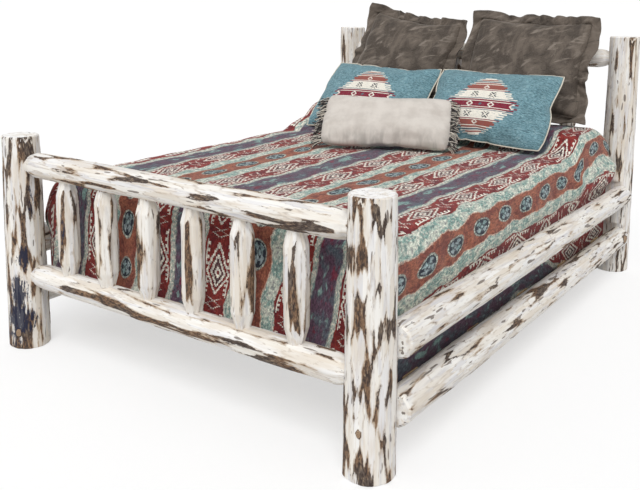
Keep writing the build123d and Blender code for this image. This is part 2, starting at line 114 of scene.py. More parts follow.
class Finish:
    """A material in the making: its calls add shader nodes and give back their outputs."""

    def __init__(self, name, owner=None):
        self.owner = owner or bpy.data.materials.new(name)
        self.owner.use_nodes = True
        self.tree = self.owner.node_tree
        self.tree.nodes.clear()

    def node(self, kind, inputs=(), **settings):
        made = self.tree.nodes.new(kind)
        for key, value in settings.items():
            setattr(made, key, value)
        for key, value in dict(inputs).items():
            socket = made.inputs[key]
            if isinstance(value, Value):
                self.tree.links.new(value.socket, socket)
            elif socket.type == "RGBA":
                socket.default_value = (*value[:3], 1)
            else:
                socket.default_value = value
        return made

    def value(self, kind, inputs=(), output=0, **settings):
        return Value(self, self.node(kind, inputs, **settings).outputs[output])

    def math(self, operation, *values):
        return self.value("ShaderNodeMath", enumerate(values), operation=operation)

    def sine(self, value):
        return self.math("SINE", value)

    def fraction(self, value):
        return self.math("FRACT", value)

    def most(self, first, *others):
        for other in others:
            first = self.math("MAXIMUM", first, other)
        return first

    def place(self):
        return self.value("ShaderNodeTexCoord", output="Object")

    def attribute(self, name, output="Fac"):
        return self.value("ShaderNodeAttribute", output=output, attribute_name=name)

    def drawn(self, vector, by, start=(0, 0, 0)):
        """The vector moved by start, and then drawn out or pressed together along each axis."""
        moved = self.value("ShaderNodeVectorMath", {0: vector, 1: start}, operation="ADD")
        return self.value("ShaderNodeVectorMath", {0: moved, 1: by}, operation="MULTIPLY")

    def parts(self, vector):
        made = self.node("ShaderNodeSeparateXYZ", {0: vector})
        return [Value(self, output) for output in made.outputs]

    def noise(self, vector, scale, detail=2.0, roughness=0.5, distortion=0.0):
        inputs = {"Vector": vector, "Scale": scale, "Detail": detail}
        inputs.update({"Roughness": roughness, "Distortion": distortion})
        return self.value("ShaderNodeTexNoise", inputs)

    def step(self, value, low, high, to_low=0.0, to_high=1.0):
        """Goes smoothly from to_low to to_high as value goes from low to high."""
        inputs = {0: value, 1: low, 2: high, 3: to_low, 4: to_high}
        return self.value("ShaderNodeMapRange", inputs, interpolation_type="SMOOTHSTEP")

    def band(self, value, low, high, soft):
        """1 where value is from low to high, with soft edges."""
        return self.step(value, low - soft, low + soft) * self.step(value, high + soft, high - soft)

    def stitched(self, value, size):
        """A value that changes only from one stitch to the next."""
        return (self.math("FLOOR", value / size) + 0.5) * size

    def repeat(self, value, pitch, start=0.0):
        """Distance from the middle of the nearest repeat."""
        return (self.fraction(value / pitch + start) - 0.5) * pitch

    def mix(self, share, first, second, blend="MIX"):
        inputs = {0: share, 6: first, 7: second}
        return self.value("ShaderNodeMix", inputs, 2, data_type="RGBA", blend_type=blend)

    def layer(self, color, *layers):
        """Lays colours over color, each (value, low, high, strength, colour), by its value."""
        for value, low, high, strength, over in layers:
            color = self.mix(self.step(value, low, high, 0, strength), color, over)
        return color

    def bump(self, height, strength, distance, under=None):
        inputs = {"Height": height, "Strength": strength, "Distance": distance}
        if under is not None:
            inputs["Normal"] = under
        return self.value("ShaderNodeBump", inputs)

    def weave(self, where, size, under=None, depth=0.0006, strength=0.5):
        """Bump of a plain weave whose threads are size apart."""
        x, y, _ = self.parts(where)
        threads = self.sine(x * (math.pi / size)) * self.sine(y * (math.pi / size))
        return self.bump(threads, strength, depth, under)

    def shade(self, color, roughness, normal, **sockets):
        inputs = {"Base Color": color, "Roughness": roughness, "Normal": normal}
        inputs.update({key.replace("_", " "): value for key, value in sockets.items()})
        shader = self.value("ShaderNodeBsdfPrincipled", inputs)
        self.node("ShaderNodeOutputMaterial", {"Surface": shader})
        return self.owner


WHITE_WOOD = (0.88, 0.87, 0.85)
CREAM_WOOD = (0.82, 0.79, 0.735)
WARM_WOOD = (0.68, 0.60, 0.50)
GREY_WOOD = (0.57, 0.56, 0.585)
END_WOOD = (0.95, 0.945, 0.93)
CUT_LINE = (0.46, 0.39, 0.33)
INNER_BARK = (0.40, 0.29, 0.19)
RED_BARK = (0.20, 0.115, 0.065)
GREY_BARK = (0.13, 0.10, 0.08)
DARK_BARK = (0.045, 0.03, 0.025)
NAVY_STAIN = (0.014, 0.017, 0.04)


def peeled_log(name, ragged, dashes, greyness, redness):
    """Hand-peeled log: pale wood, bark left between the cuts, tan inner bark along its edges."""
    f = Finish(name)
    where = f.attribute("log_place", "Vector")
    peel, knot, stain = f.attribute("peel"), f.attribute("knot"), f.attribute("stain")
    facet, meet = f.attribute("facet"), f.attribute("meet")

    def grain(flow, scale, detail=2.0, roughness=0.5, start=(0, 0, 0)):
        """Noise in streaks along the log, longer where flow is smaller."""
        return f.noise(f.drawn(where, (1, 1, flow), start), scale, detail, roughness)

    fibre = grain(0.06, 480)
    streak = grain(0.09, 46, 3.0, 0.6)
    cloud = grain(0.3, 16)
    rag = grain(0.2, 170, 4.0, 0.65)
    ripple = grain(0.12, 620)
    grey = grain(0.08, 70, 3.0, 0.6, (3.1, 1.7, 0.4))
    dash = grain(0.17, 66, 1.5, 0.5, (0.7, 5.3, 2.2))
    flake = grain(0.28, 150, 4.0, 0.7)
    shred = grain(0.22, 210, 2.0, 0.6, (1.3, 2.9, 0.8))

    edge = (ripple - 0.5) * (0.35 * ragged) + ((rag - 0.5) * ragged + peel)
    bark = f.step(edge, 0.05, -0.04)
    inner = f.step(edge, 0.4, 0.02) * f.step(cloud, 0.34, 0.6, 0.15, 0.95)
    line = f.step(meet, 0.35, 0.85) * f.step(rag, 0.38, 0.6, 0.1, 0.75)
    wood = f.layer(
        WHITE_WOOD,
        (facet, 0.15, 0.75, 1, CREAM_WOOD),
        (facet, 0.8, 0.95, 0.55, WARM_WOOD),
        (facet, 0.3, 0.05, 0.55, GREY_WOOD),
        (facet, -0.3, -0.7, 1, END_WOOD),
    )
    wood = f.layer(
        f.mix(line, wood, CUT_LINE),
        (streak, 0.46, 0.78, 1, WARM_WOOD),
        (grey, 0.56 - 0.12 * greyness, 0.76, 0.8, GREY_WOOD),
        (cloud, 0.5, 0.72, 0.6, WARM_WOOD),
        (fibre, 0.45, 0.8, 0.22, WARM_WOOD),
        (dash, 0.715 - 0.04 * dashes, 0.74 - 0.04 * dashes, 0.85, GREY_BARK),
    )
    left_on = f.layer(
        RED_BARK,
        (cloud, 0.66 - 0.25 * redness, 0.52 - 0.25 * redness, 1, GREY_BARK),
        (flake, 0.42, 0.58, 1, DARK_BARK),
        (flake, 0.41, 0.33, 0.6, INNER_BARK),
        (shred, 0.60, 0.70, 0.7, INNER_BARK),
        (shred, 0.40, 0.32, 0.6, GREY_BARK),
    )
    heart = f.layer(INNER_BARK, (f.sine(knot * 21.0), -0.4, 0.9, 1, RED_BARK))
    color = f.layer(
        f.mix(bark, f.mix(inner, wood, INNER_BARK), left_on),
        ((rag - 0.5) * 2.2 + stain, 0.42, 0.56, 0.95, NAVY_STAIN),
        (knot, 0.02, 0.1, 0.9, heart),
    )
    relief = flake * (bark * 0.8) + fibre * 0.18 + bark * 0.5
    normal = f.bump(relief, 0.55, 0.0022)
    return f.shade(color, f.step(bark, 0, 1, 0.46, 0.8), normal, Specular_IOR_Level=0.35)


# ---- helpers for meshes ----


def spun(profile, turns, step):
    """A closed shape turned round +Z from its half outline, given as (radius, height) points."""
    path = [Vector((profile[0][0], 0, profile[0][1]))]
    for radius, height in profile[1:]:
        start, stop = path[-1], Vector((radius, 0, height))
        count = max(1, math.ceil((stop - start).length / step))
        path += [start.lerp(stop, (i + 1) / count) for i in range(count)]
    mesh = bmesh.new()
    line = [mesh.verts.new(point) for point in path]
    edges = [mesh.edges.new(pair) for pair in zip(line, line[1:])]
    full_turn = {"cent": (0, 0, 0), "axis": (0, 0, 1), "angle": 2 * math.pi, "use_merge": True}
    bmesh.ops.spin(mesh, geom=line + edges, steps=turns, **full_turn)
    bmesh.ops.remove_doubles(mesh, verts=mesh.verts, dist=1e-6)
    bmesh.ops.recalc_face_normals(mesh, faces=mesh.faces)
    return mesh


def show(name, data):
    """A new object in the scene."""
    piece = bpy.data.objects.new(name, data)
    bpy.context.scene.collection.objects.link(piece)
    return piece


def piece_from(mesh, name, sharp=None):
    """A new smooth object from a bmesh, with edges of more than sharp degrees kept hard."""
    data = bpy.data.meshes.new(name)
    mesh.to_mesh(data)
    mesh.free()
    data.polygons.foreach_set("use_smooth", [True] * len(data.polygons))
    if sharp:
        data.set_sharp_from_angle(angle=math.radians(sharp))
    return show(name, data)


def settle(piece, material, body, nodes=()):
    """Gives a finished piece its material and body, and hides the nodes that it stands for."""
    piece.data.materials.append(material)
    if nodes:
        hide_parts(*nodes)
    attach(piece, body)


def corners_of(piece):
    points = np.zeros(len(piece.data.vertices) * 3)
    piece.data.vertices.foreach_get("co", points)
    return points.reshape(-1, 3)


def set_corners(piece, points):
    piece.data.vertices.foreach_set("co", np.asarray(points, float).ravel())
    piece.data.update()


def set_number(piece, name, values):
    made = piece.data.attributes.new(name, "FLOAT", "POINT")
    made.data.foreach_set("value", np.asarray(values, np.float32))


def set_vector(piece, name, values):
    made = piece.data.attributes.new(name, "FLOAT_VECTOR", "POINT")
    made.data.foreach_set("vector", np.asarray(values, np.float32).ravel())


def smooth(value, low, high):
    t = np.clip((value - low) / (high - low), 0, 1)
    return t * t * (3 - 2 * t)


def band_of(value, low, high, soft=0.03):
    return smooth(value, low - soft, low + soft) * (1 - smooth(value, high - soft, high + soft))


def bell(distance, width):
    return np.exp(-((distance / width) ** 2))


def waves(points, seed, scale, count=7):
    """Soft random waves over points, from about -1 to 1."""
    rng = np.random.default_rng(seed)
    total = np.zeros(len(points))
    for _ in range(count):
        direction = rng.normal(size=points.shape[1]) / np.asarray(scale)
        total += np.sin(points @ direction + rng.uniform(0, 2 * math.pi))
    return total / math.sqrt(count)


# ---- logs ----

MOST_CUTS = 4000
LOG_CELL = 0.0036
CUT_RIM = 0.22  # how far into a cut the line shows where it meets another
CUT_OVERRUN = 0.03
SKIN = 0.0004  # how far bark stands above the cuts


class Log:
    """How one kind of log is peeled: the share its cuts cover, and their half width and length."""

    def __init__(self, finish, cover, width, length, sway=0.0012, bite=1.0):
        self.finish = finish
        self.cover = cover
        self.width = width
        self.length = length
        self.sway = sway
        self.bite = bite


def around(angle, centre):
    return (angle - centre + math.pi) % (2 * math.pi) - math.pi


def drawknife_cuts(kind, radius, length, angle, along, rng):
    """Random cuts over a log.

    Gives how far inside a cut each point lies (below 0 outside), how near a line it is where two
    cuts meet, its cut's own tone, and how deep it is cut.
    """
    width = rng.uniform(*kind.width, MOST_CUTS)
    reach = rng.uniform(*kind.length, MOST_CUTS)
    tone = rng.uniform(0, 1, MOST_CUTS)
    area = np.cumsum(width * reach * 8 / 3)
    peel = np.full(len(along), -1.0)
    under = np.full(len(along), -1.0)
    facet = np.full(len(along), 0.5)
    depth = np.zeros(len(along))
    for i in range(int(np.searchsorted(area, kind.cover * 2 * math.pi * radius * length))):
        middle = rng.uniform(-CUT_OVERRUN, length + CUT_OVERRUN)
        turn, slant = rng.uniform(-math.pi, math.pi), rng.normal(0, 0.03)
        t = (along - middle) / reach[i]
        near = np.abs(t) < 1.6
        t = t[near]
        off = around(angle[near] + slant * t, turn) * radius / width[i]
        cut = 1 - t * t - np.abs(off)
        facet[near] = np.where(cut > peel[near], tone[i], facet[near])
        under[near] = np.maximum(under[near], np.minimum(cut, peel[near]))
        peel[near] = np.maximum(peel[near], cut)
        sag = kind.bite * width[i] ** 2 / (2 * radius)
        flat = sag * np.clip(1 - off * off, 0, 1) * np.clip(1 - t * t, 0, 1) ** 0.5
        depth[near] = np.maximum(depth[near], np.where(cut > 0, flat, 0))
    meet = (1 - np.clip((peel - under) / CUT_RIM, 0, 1)) * (peel > 0)
    return peel, meet, facet, depth + SKIN * smooth(peel, -0.02, 0.12)


def make_log(name, kind, profile, place, seed, bare=(), zones=(), knots=(), mill=None, step=0.006):
    """A log with its drawknife cuts, knots and milled places, all in its surface.

    bare gives stretches (from, to) along the log that are cut clean. zones are places with more
    bark: (point, half width, half length, strength, stain). knots are (point, radius, height).
    Both give their points as they are on the bed.
    """
    radius = max(r for r, _ in profile)
    length = max(z for _, z in profile)
    mesh = spun(profile, max(48, int(2 * math.pi * radius / LOG_CELL)), step)
    piece = piece_from(mesh, name, 38)
    points = corners_of(piece)
    rng = np.random.default_rng(seed)
    reach = np.hypot(points[:, 0], points[:, 1])
    angle = np.arctan2(points[:, 1], points[:, 0])
    along = points[:, 2]
    skin = np.array(sorted({z: r for r, z in profile if r > 0.3 * radius}.items()))
    nominal = np.interp(along, skin[:, 0], skin[:, 1])
    side = smooth(reach / np.maximum(nominal, 1e-6), 0.9, 0.985)  # 0 on the end faces

    peel, meet, facet, depth = drawknife_cuts(kind, radius, length, angle, along, rng)
    local = np.column_stack((angle * radius, along))
    depth += kind.sway * (0.6 + 0.5 * waves(points, seed + 1, (0.05, 0.05, 0.14)))
    depth += 0.0002 * waves(local, seed + 2, (0.004, 0.02))
    jagged = along + 0.014 * waves(local, seed + 3, (0.006, 0.4))
    jagged = jagged + 0.003 * waves(local, seed + 4, (0.002, 0.02))
    for low, high in bare:
        inside = np.minimum(jagged - low, high - jagged) / 0.012
        peel = np.maximum(peel, np.clip(inside, -1, 1))

    def away_from(point):
        """How far each corner of the log is from a point on the bed, round it and along it."""
        spot = place.inverted() @ Vector(point)
        return around(angle, math.atan2(spot.y, spot.x)) * radius, along - spot.z

    stain, knot, lift = np.zeros((3, len(points)))
    for point, half_width, half_length, strength, dark in zones:
        off, run = away_from(point)
        fade = 1.25 - 0.55 * np.abs(off / half_width) - 0.5 * (run / half_length) ** 2
        fade = np.clip(fade, 0, 1)
        peel = peel - strength * fade
        stain = np.maximum(stain, dark * fade)
    for point, size, height in knots:
        off, run = away_from(point)
        away = np.hypot(off, run / 1.35) / size
        knot = np.maximum(knot, np.clip(1 - away, 0, 1))
        lift += height * bell(away, 1.3)
        peel = np.where(away < 1.25, -0.2, peel)
    peel = np.where(side < 0.5, 1.0, peel)

    shrink = 1 - side * (depth - lift) / np.maximum(reach, 1e-4)
    points[:, 0] *= shrink
    points[:, 1] *= shrink
    if mill:
        peel = mill(points, peel)
    set_number(piece, "peel", np.clip(peel, -1, 1))
    set_number(piece, "facet", np.where(side < 0.5, -1.0, facet))  # below 0 on the end faces
    set_number(piece, "meet", meet * (side > 0.5))
    set_number(piece, "stain", stain)
    set_number(piece, "knot", knot)
    set_vector(piece, "log_place", points + rng.uniform(-4, 4, 3))
    set_corners(piece, points)
    piece.data.transform(place)
    settle(piece, kind.finish, "root", [name])


def outline(radii, start, stop):
    gap = (stop - start) / (len(radii) - 1)
    return [(radius, start + i * gap) for i, radius in enumerate(radii)]


def mirrored(near, length):
    return [(radius, length - run) for radius, run in reversed(near)]


def bevelled(radii, bevel, length):
    """Half outline of a log with the rims of both its ends taken off."""
    body = outline(radii, bevel, length - bevel)
    return [(0, 0), (radii[0] - bevel, 0), *body, (radii[-1] - bevel, length), (0, length)]


# each finish gives how ragged its bark's edges are, its dashes, its greyness and its redness
post_kind = Log(peeled_log("peeled_post", 1.0, 0.8, 0.8, 0.45), 1.65, (0.010, 0.0185), (0.05, 0.12))
rough_kind = Log(post_kind.finish, 1.42, (0.009, 0.017), (0.05, 0.13))
head_finish = peeled_log("peeled_head_post", 1.0, 1.0, 1.0, 0.1)
head_kind = Log(head_finish, 2.1, (0.009, 0.016), (0.06, 0.15))
cross_finish = peeled_log("peeled_cross_rail", 1.0, 0.6, 0.4, 0.5)
cross_kind = Log(cross_finish, 2.4, (0.010, 0.019), (0.06, 0.17))
side_finish = peeled_log("peeled_side_rail", 0.9, 1.5, 0.5, 0.2)
side_kind = Log(side_finish, 3.3, (0.010, 0.02), (0.05, 0.15))
spindle_finish = peeled_log("whittled_spindle", 0.9, 0.5, 0.5, 0.5)
spindle_kind = Log(spindle_finish, 2.05, (0.010, 0.018), (0.08, 0.2), 0.0006, 1.5)


def rail_flats(inward):
    """Mills the flats that the side rails butt on, on the post's face towards the bed."""

    def mill(points, peel):
        for height in SIDE_RAIL_HEIGHTS.values():
            level = np.abs(points[:, 2] - height) < RAIL_FLAT_HALF
            proud = level & (points[:, 1] * inward > RAIL_FLAT)
            points[proud, 1] = inward * RAIL_FLAT
            peel = np.where(proud, 1.0, peel)
        return peel

    return mill


def make_post(name, across, along, height, kind, seed, zones=(), knots=()):
    profile = bevelled(POST_RADII, POST_EDGE, height)
    place = Matrix.Translation((across * HALF_SPACING, along * HALF_RUN, 0))
    bare = [(height - 0.012, height)]
    make_log(name, kind, profile, place, seed, bare, zones, knots, rail_flats(-along))


right_foot_bark = [
    ((0.755, -1.21, 0.645), 0.05, 0.035, 0.8, 0),
    ((0.75, -1.21, 0.78), 0.012, 0.05, 0.5, 0.2),
    ((0.81, -1.209, 0.25), 0.04, 0.06, 0.3, 0),
    ((0.853, -1.168, 0.45), 0.03, 0.03, 0.6, 0),
    ((0.80, -1.213, 0.05), 0.05, 0.05, 0.35, 0),
]
left_foot_bark = [
    ((-0.722, -1.19, 0.36), 0.02, 0.045, 0.5, 0.7),
    ((-0.745, -1.208, 0.23), 0.03, 0.06, 0.55, 0.78),
    ((-0.745, -1.205, 0.12), 0.05, 0.055, 0.5, 0.8),
    ((-0.79, -1.211, 0.03), 0.06, 0.05, 0.5, 0.45),
    ((-0.703, -1.156, 0.58), 0.012, 0.08, 0.6, 0.4),
    ((-0.82, -1.205, 0.5), 0.03, 0.2, 0.25, 0),
]
right_foot_knots = [((0.79, -1.214, 0.153), 0.008, 0.002)]
left_foot_knots = [((-0.751, -1.21, 0.066), 0.011, 0.003)]
make_post("foot_post_right", 1, -1, FOOT_POST_HEIGHT, post_kind, 11,
          right_foot_bark, right_foot_knots)
make_post("foot_post_left", -1, -1, FOOT_POST_HEIGHT, rough_kind, 12,
          left_foot_bark, left_foot_knots)
make_post("head_post_right", 1, 1, HEAD_POST_HEIGHT, head_kind, 13)
make_post("head_post_left", -1, 1, HEAD_POST_HEIGHT, head_kind, 14)


def saddles(points, peel):
    """Mills the flats that the spindles stand on, on the top of a bottom rail."""
    for x in SPINDLE_PLACES:
        run = points[:, 2] - CROSS_NECK - x - SADDLE_SHIFT
        floor = CROSS_RAIL_RADIUS - SADDLE_DEPTH + SADDLE_RADIUS
        floor = floor - np.sqrt(np.clip(SADDLE_RADIUS**2 - run**2, 0, None))
        proud = (np.abs(run) < SADDLE_HALF) & (points[:, 0] > floor)
        points[proud, 0] = floor[proud]
        peel = np.where(proud, 1.0, peel)
    return peel


def make_cross_rail(name, along, height, radii, seed, zones=(), mill=None):
    length = 2 * CROSS_NECK
    rise = radii[0] - CROSS_NECK_RADIUS
    body = outline(radii, CROSS_SHOULDER, length - CROSS_SHOULDER)
    near = [(CROSS_NECK_RADIUS + share * rise, run) for share, run in CROSS_SWELL]
    profile = [(0, 0), *near, *body, *mirrored(near, length), (0, length)]
    place = Matrix.Translation((-CROSS_NECK, along * HALF_RUN, height)) @ ACROSS
    bare = [(-0.01, 0.055), (length - 0.055, length + 0.01)]
    make_log(name, cross_kind, profile, place, seed, bare, zones, mill=mill)


top_rail_bark = [
    ((-0.47, -1.182, 0.728), 0.011, 0.075, 0.9, 0), ((-0.14, -1.175, 0.745), 0.008, 0.09, 0.7, 0),
    ((0.01, -1.178, 0.742), 0.007, 0.035, 0.7, 0), ((0.19, -1.182, 0.728), 0.013, 0.07, 0.95, 0),
    ((0.42, -1.18, 0.705), 0.007, 0.09, 0.7, 0), ((0.6, -1.182, 0.71), 0.010, 0.06, 0.9, 0),
    ((0.31, -1.16, 0.757), 0.006, 0.06, 0.7, 0), ((-0.3, -1.182, 0.7), 0.006, 0.07, 0.7, 0),
]
bottom_rail_bark = [
    ((-0.45, -1.182, 0.295), 0.010, 0.09, 0.8, 0), ((-0.15, -1.182, 0.275), 0.009, 0.12, 0.8, 0),
    ((0.1, -1.178, 0.262), 0.011, 0.1, 0.9, 0), ((0.3, -1.182, 0.285), 0.009, 0.08, 0.8, 0),
    ((0.5, -1.18, 0.27), 0.010, 0.09, 0.8, 0),
]
make_cross_rail("footboard_top_rail", -1, FOOTBOARD_HEIGHTS[1],
                (0.049, 0.05, 0.0485, 0.0495, 0.049), 21, top_rail_bark)
make_cross_rail("footboard_bottom_rail", -1, FOOTBOARD_HEIGHTS[0],
                (0.049, 0.048, 0.0495, 0.0485, 0.049), 22, bottom_rail_bark, saddles)
make_cross_rail("headboard_top_rail", 1, HEADBOARD_HEIGHTS[1],
                (0.047, 0.0475, 0.0465, 0.0475, 0.047), 23)
make_cross_rail("headboard_bottom_rail", 1, HEADBOARD_HEIGHTS[0],
                (0.049, 0.0495, 0.048, 0.049, 0.049), 24, mill=saddles)


def make_side_rail(name, across, height, seed, zones=(), knots=()):
    length = 2 * RAIL_END
    profile = bevelled(SIDE_RAIL_RADII, SIDE_RAIL_BEVEL, length)
    place = Matrix.Translation((across * SIDE_RAIL_X, -RAIL_END, height)) @ LENGTHWISE
    bare = [(-0.01, 0.01), (length - 0.01, length + 0.01)]
    make_log(name, side_kind, profile, place, seed, bare, zones, knots)


right_rail_bark = {
    "lower": [
        ((0.875, -0.62, 0.215), 0.03, 0.06, 0.45, 0), ((0.87, 0.96, 0.2), 0.03, 0.1, 0.6, 0),
        ((0.87, 0.6, 0.19), 0.014, 0.14, 0.6, 0), ((0.874, -0.35, 0.2), 0.012, 0.09, 0.6, 0),
        ((0.87, 0.2, 0.21), 0.010, 0.12, 0.6, 0), ((0.874, -0.9, 0.17), 0.012, 0.08, 0.6, 0),
    ],
    "upper": [
        ((0.86, -0.069, 0.425), 0.006, 0.05, 0.8, 0), ((0.872, -0.6, 0.40), 0.009, 0.09, 0.7, 0),
        ((0.874, -0.85, 0.385), 0.008, 0.07, 0.7, 0), ((0.87, 0.45, 0.41), 0.007, 0.06, 0.7, 0),
    ],
}
right_rail_knots = {"lower": [((0.87, 1.01, 0.19), 0.02, 0.007)], "upper": []}
for level, height, seed in (("lower", SIDE_RAIL_HEIGHTS["lower"], 31),
                            ("upper", SIDE_RAIL_HEIGHTS["upper"], 33)):
    make_side_rail(f"side_rail_{level}_left", -1, height, seed)
    make_side_rail(f"side_rail_{level}_right", 1, height, seed + 1,
                   right_rail_bark[level], right_rail_knots[level])


def make_spindle(name, x, along, heights, belly, seed, zones=()):
    """A spindle from the saddle that it stands on to the rail above it."""
    base = heights[0] + CROSS_RAIL_RADIUS - SADDLE_DEPTH - SPINDLE_SINK
    length = heights[1] - CROSS_RAIL_RADIUS + SADDLE_DEPTH + SPINDLE_SINK - base
    radii = [SPINDLE_RADIUS * share for share in belly]
    body = outline(radii, SPINDLE_SHOULDER, length - SPINDLE_SHOULDER)
    profile = [(0, 0), *SPINDLE_NECK, *body, *mirrored(SPINDLE_NECK, length), (0, length)]
    place = Matrix.Translation((x, along * HALF_RUN, base))
    clean = SPINDLE_SHOULDER - 0.008
    bare = [(-0.01, clean), (length - clean, length + 0.01)]
    make_log(name, spindle_kind, profile, place, seed, bare, zones, step=0.005)


BELLIES = ((0.98, 1.0, 1.0, 0.97), (1.0, 1.02, 0.99, 0.98), (0.97, 0.99, 1.02, 1.0))
# a strip of bark down each spindle of the footboard: side, half length, strength and stain
heart_strips = (
    (0.03, 0.10, 0.9, 0.45), (0.035, 0.09, 0.45, 0.0), (0.02, 0.09, 0.5, 0.0),
    (0.025, 0.11, 0.6, 0.0), (0.03, 0.10, 0.35, 0.0), (0.015, 0.08, 0.8, 0.1),
)
for i, (x, strip) in enumerate(zip(SPINDLE_PLACES, heart_strips)):
    belly = BELLIES[i % len(BELLIES)]
    aside, half, strength, dark = strip
    zones = [((x + aside * 0.5, -HALF_RUN - 0.04, 0.51), 0.0085, half, strength, dark)]
    make_spindle(f"footboard_spindle_{i + 1}", x, -1, FOOTBOARD_HEIGHTS, belly, 41 + i, zones)
    make_spindle(f"headboard_spindle_{i + 1}", x, 1, HEADBOARD_HEIGHTS, belly, 51 + i)


# ---- bedding: sizes ----
COVERLET_TOP = 0.6475
COVERLET_HALF = 0.7635
COVERLET_SHOULDER = 0.066
COVERLET_FOOT_ROLL = 0.055
COVERLET_HEM = 0.192
COVERLET_FOOT = -1.036
COVERLET_HEAD = 1.038
COVERLET_CELL = 0.0125
CLOTH_THICKNESS = 0.005
HEM_LIFT = 0.05
HEAD_ROLL = 0.03  # radius at which the hanging side turns in at the mattress's head
MATTRESS_HEAD = 1.0
MATTRESS = ((-0.755, -1.01, 0.4345), (0.755, 1.01, 0.6405))
MATTRESS_TAPES = {"lower": 0.486, "upper": 0.588}
SHAM = (0.56, 0.50, 0.16)
SHAM_FLANGE = 0.045
ACCENT = (0.632, 0.452, 0.15)
LUMBAR = (0.596, 0.298, 0.13)
SLEEPING = (0.70, 0.40, 0.076)
SLEEPING_PLACE = (0.368, 0.798, 0.655)
FRINGE_LENGTH = 0.052
FRINGE_STRANDS = 150
YARN_RADIUS = 0.0021
PIPING_RADIUS = 0.003
# x and y of the lower edge's middle, lift above the coverlet, lean, turn and tip in degrees
SHAM_PLACES = {
    "left": (-0.348, 0.828, 0.098, 65, -2, 6.5),
    "right": (0.366, 0.82, 0.09, 63.5, 3, 1),
}
ACCENT_PLACES = {
    "left": (-0.319, 0.462, 0.018, 44, 0, 0),
    "right": (0.321, 0.468, 0.018, 43.5, 2, 0),
}
LUMBAR_PLACE = (0.012, 0.186, 0.025, 38, 25, 0)
# how far each corner is pulled across and up, from the upper left round to the lower left
SHAM_PULLS = {
    "left": ((0.03, -0.022), (0.018, -0.028), (0.022, 0), (-0.016, 0)),
    "right": ((-0.006, -0.004), (0.01, -0.014), (0.02, 0), (-0.036, 0)),
}
LUMBAR_PULLS = ((0, 0.012), (0, 0.012), (0, -0.02), (0, -0.02))
NO_PULLS = ((0, 0),) * 4


# ---- bedding: fabrics ----

RUST = (0.34, 0.115, 0.068)
RUST_DARK = (0.20, 0.055, 0.04)
RUST_SEAM = (0.60, 0.42, 0.33)
SAGE = (0.235, 0.365, 0.33)
SAGE_PALE = (0.62, 0.66, 0.57)
BONE = (0.70, 0.67, 0.58)
RED = (0.26, 0.032, 0.026)
RED_DARK = (0.13, 0.012, 0.02)
CREAM = (0.82, 0.78, 0.69)
SLATE = (0.105, 0.125, 0.155)
PLUM = (0.115, 0.06, 0.095)
TEAL = (0.25, 0.40, 0.37)
BURGUNDY = (0.22, 0.02, 0.045)
INK = (0.022, 0.028, 0.042)
FRET_HEART = (0.06, 0.05, 0.055)
MEDALLION_RIM = (0.20, 0.22, 0.20)
MEDALLION_BLUE = (0.36, 0.43, 0.45)
MEDALLION_GREEN = (0.24, 0.36, 0.36)
FLECKS = (0.52, 0.52, 0.55), (1.34, 1.34, 1.31)
THREADS = (0.6, 0.6, 0.6), (1.35, 1.35, 1.35)
STRIPE_PITCH = 0.6
STRIPE_FRET = 0.163  # from the middle of a rust stripe to the middle of a red one
FRET_PITCH = 0.305
FLOWER_PITCH = 0.197
FLOWER_HALF = (0.031, 0.062)


def fretwork(f, away, v):
    """Nested diamonds, a comb along both sides and hooks between them: lines and hearts."""
    across = abs(f.stitched(away - STRIPE_FRET, 0.0045))
    run = abs(f.stitched(f.repeat(v, FRET_PITCH, 0.713), 0.007))
    nest = run * 0.46 + across
    ring = abs(f.fraction(nest / 0.0185) - 0.5)
    fret = f.step(ring, 0.24, 0.2) * f.step(nest, 0.056, 0.053)
    teeth = abs(f.stitched(f.repeat(v, 0.024), 0.006))
    comb = f.band(across, 0.036, 0.046, 0.001) * f.step(teeth, 0.0064, 0.0056)
    rim = (comb + f.band(across, 0.0455, 0.0495, 0.001)) * f.band(run, 0.02, 0.112, 0.002)
    hooks = abs(f.stitched(f.repeat(v, 0.038), 0.0055)) * 1.6 - across
    hooks = f.band(hooks, -0.004, 0.002, 0.0008) * f.band(run, 0.124, 0.15, 0.003)
    return f.most(fret, rim, hooks), f.step(nest, 0.036, 0.034) * f.step(nest, 0.005, 0.008)


def flowers(f, offset, v):
    """Ovals with four petals, an eye and a ring: how far out a point lies, and the petals."""
    side = f.stitched(offset, 0.003) / FLOWER_HALF[0]
    length = f.stitched(f.repeat(v, FLOWER_PITCH, 0.5), 0.004) / FLOWER_HALF[1]
    side2, length2 = side * side, length * length
    reach = f.math("SQRT", side2 + length2)
    cross = abs((side2 - length2) / (side2 + length2 + 0.001))
    petals = f.step(cross, 0.83, 0.68) * f.band(reach, 0.26, 0.7, 0.03)
    ring = f.band(reach, 0.3, 0.44, 0.02) * 0.6
    return reach, f.most(petals, f.step(reach, 0.2, 0.14), ring)


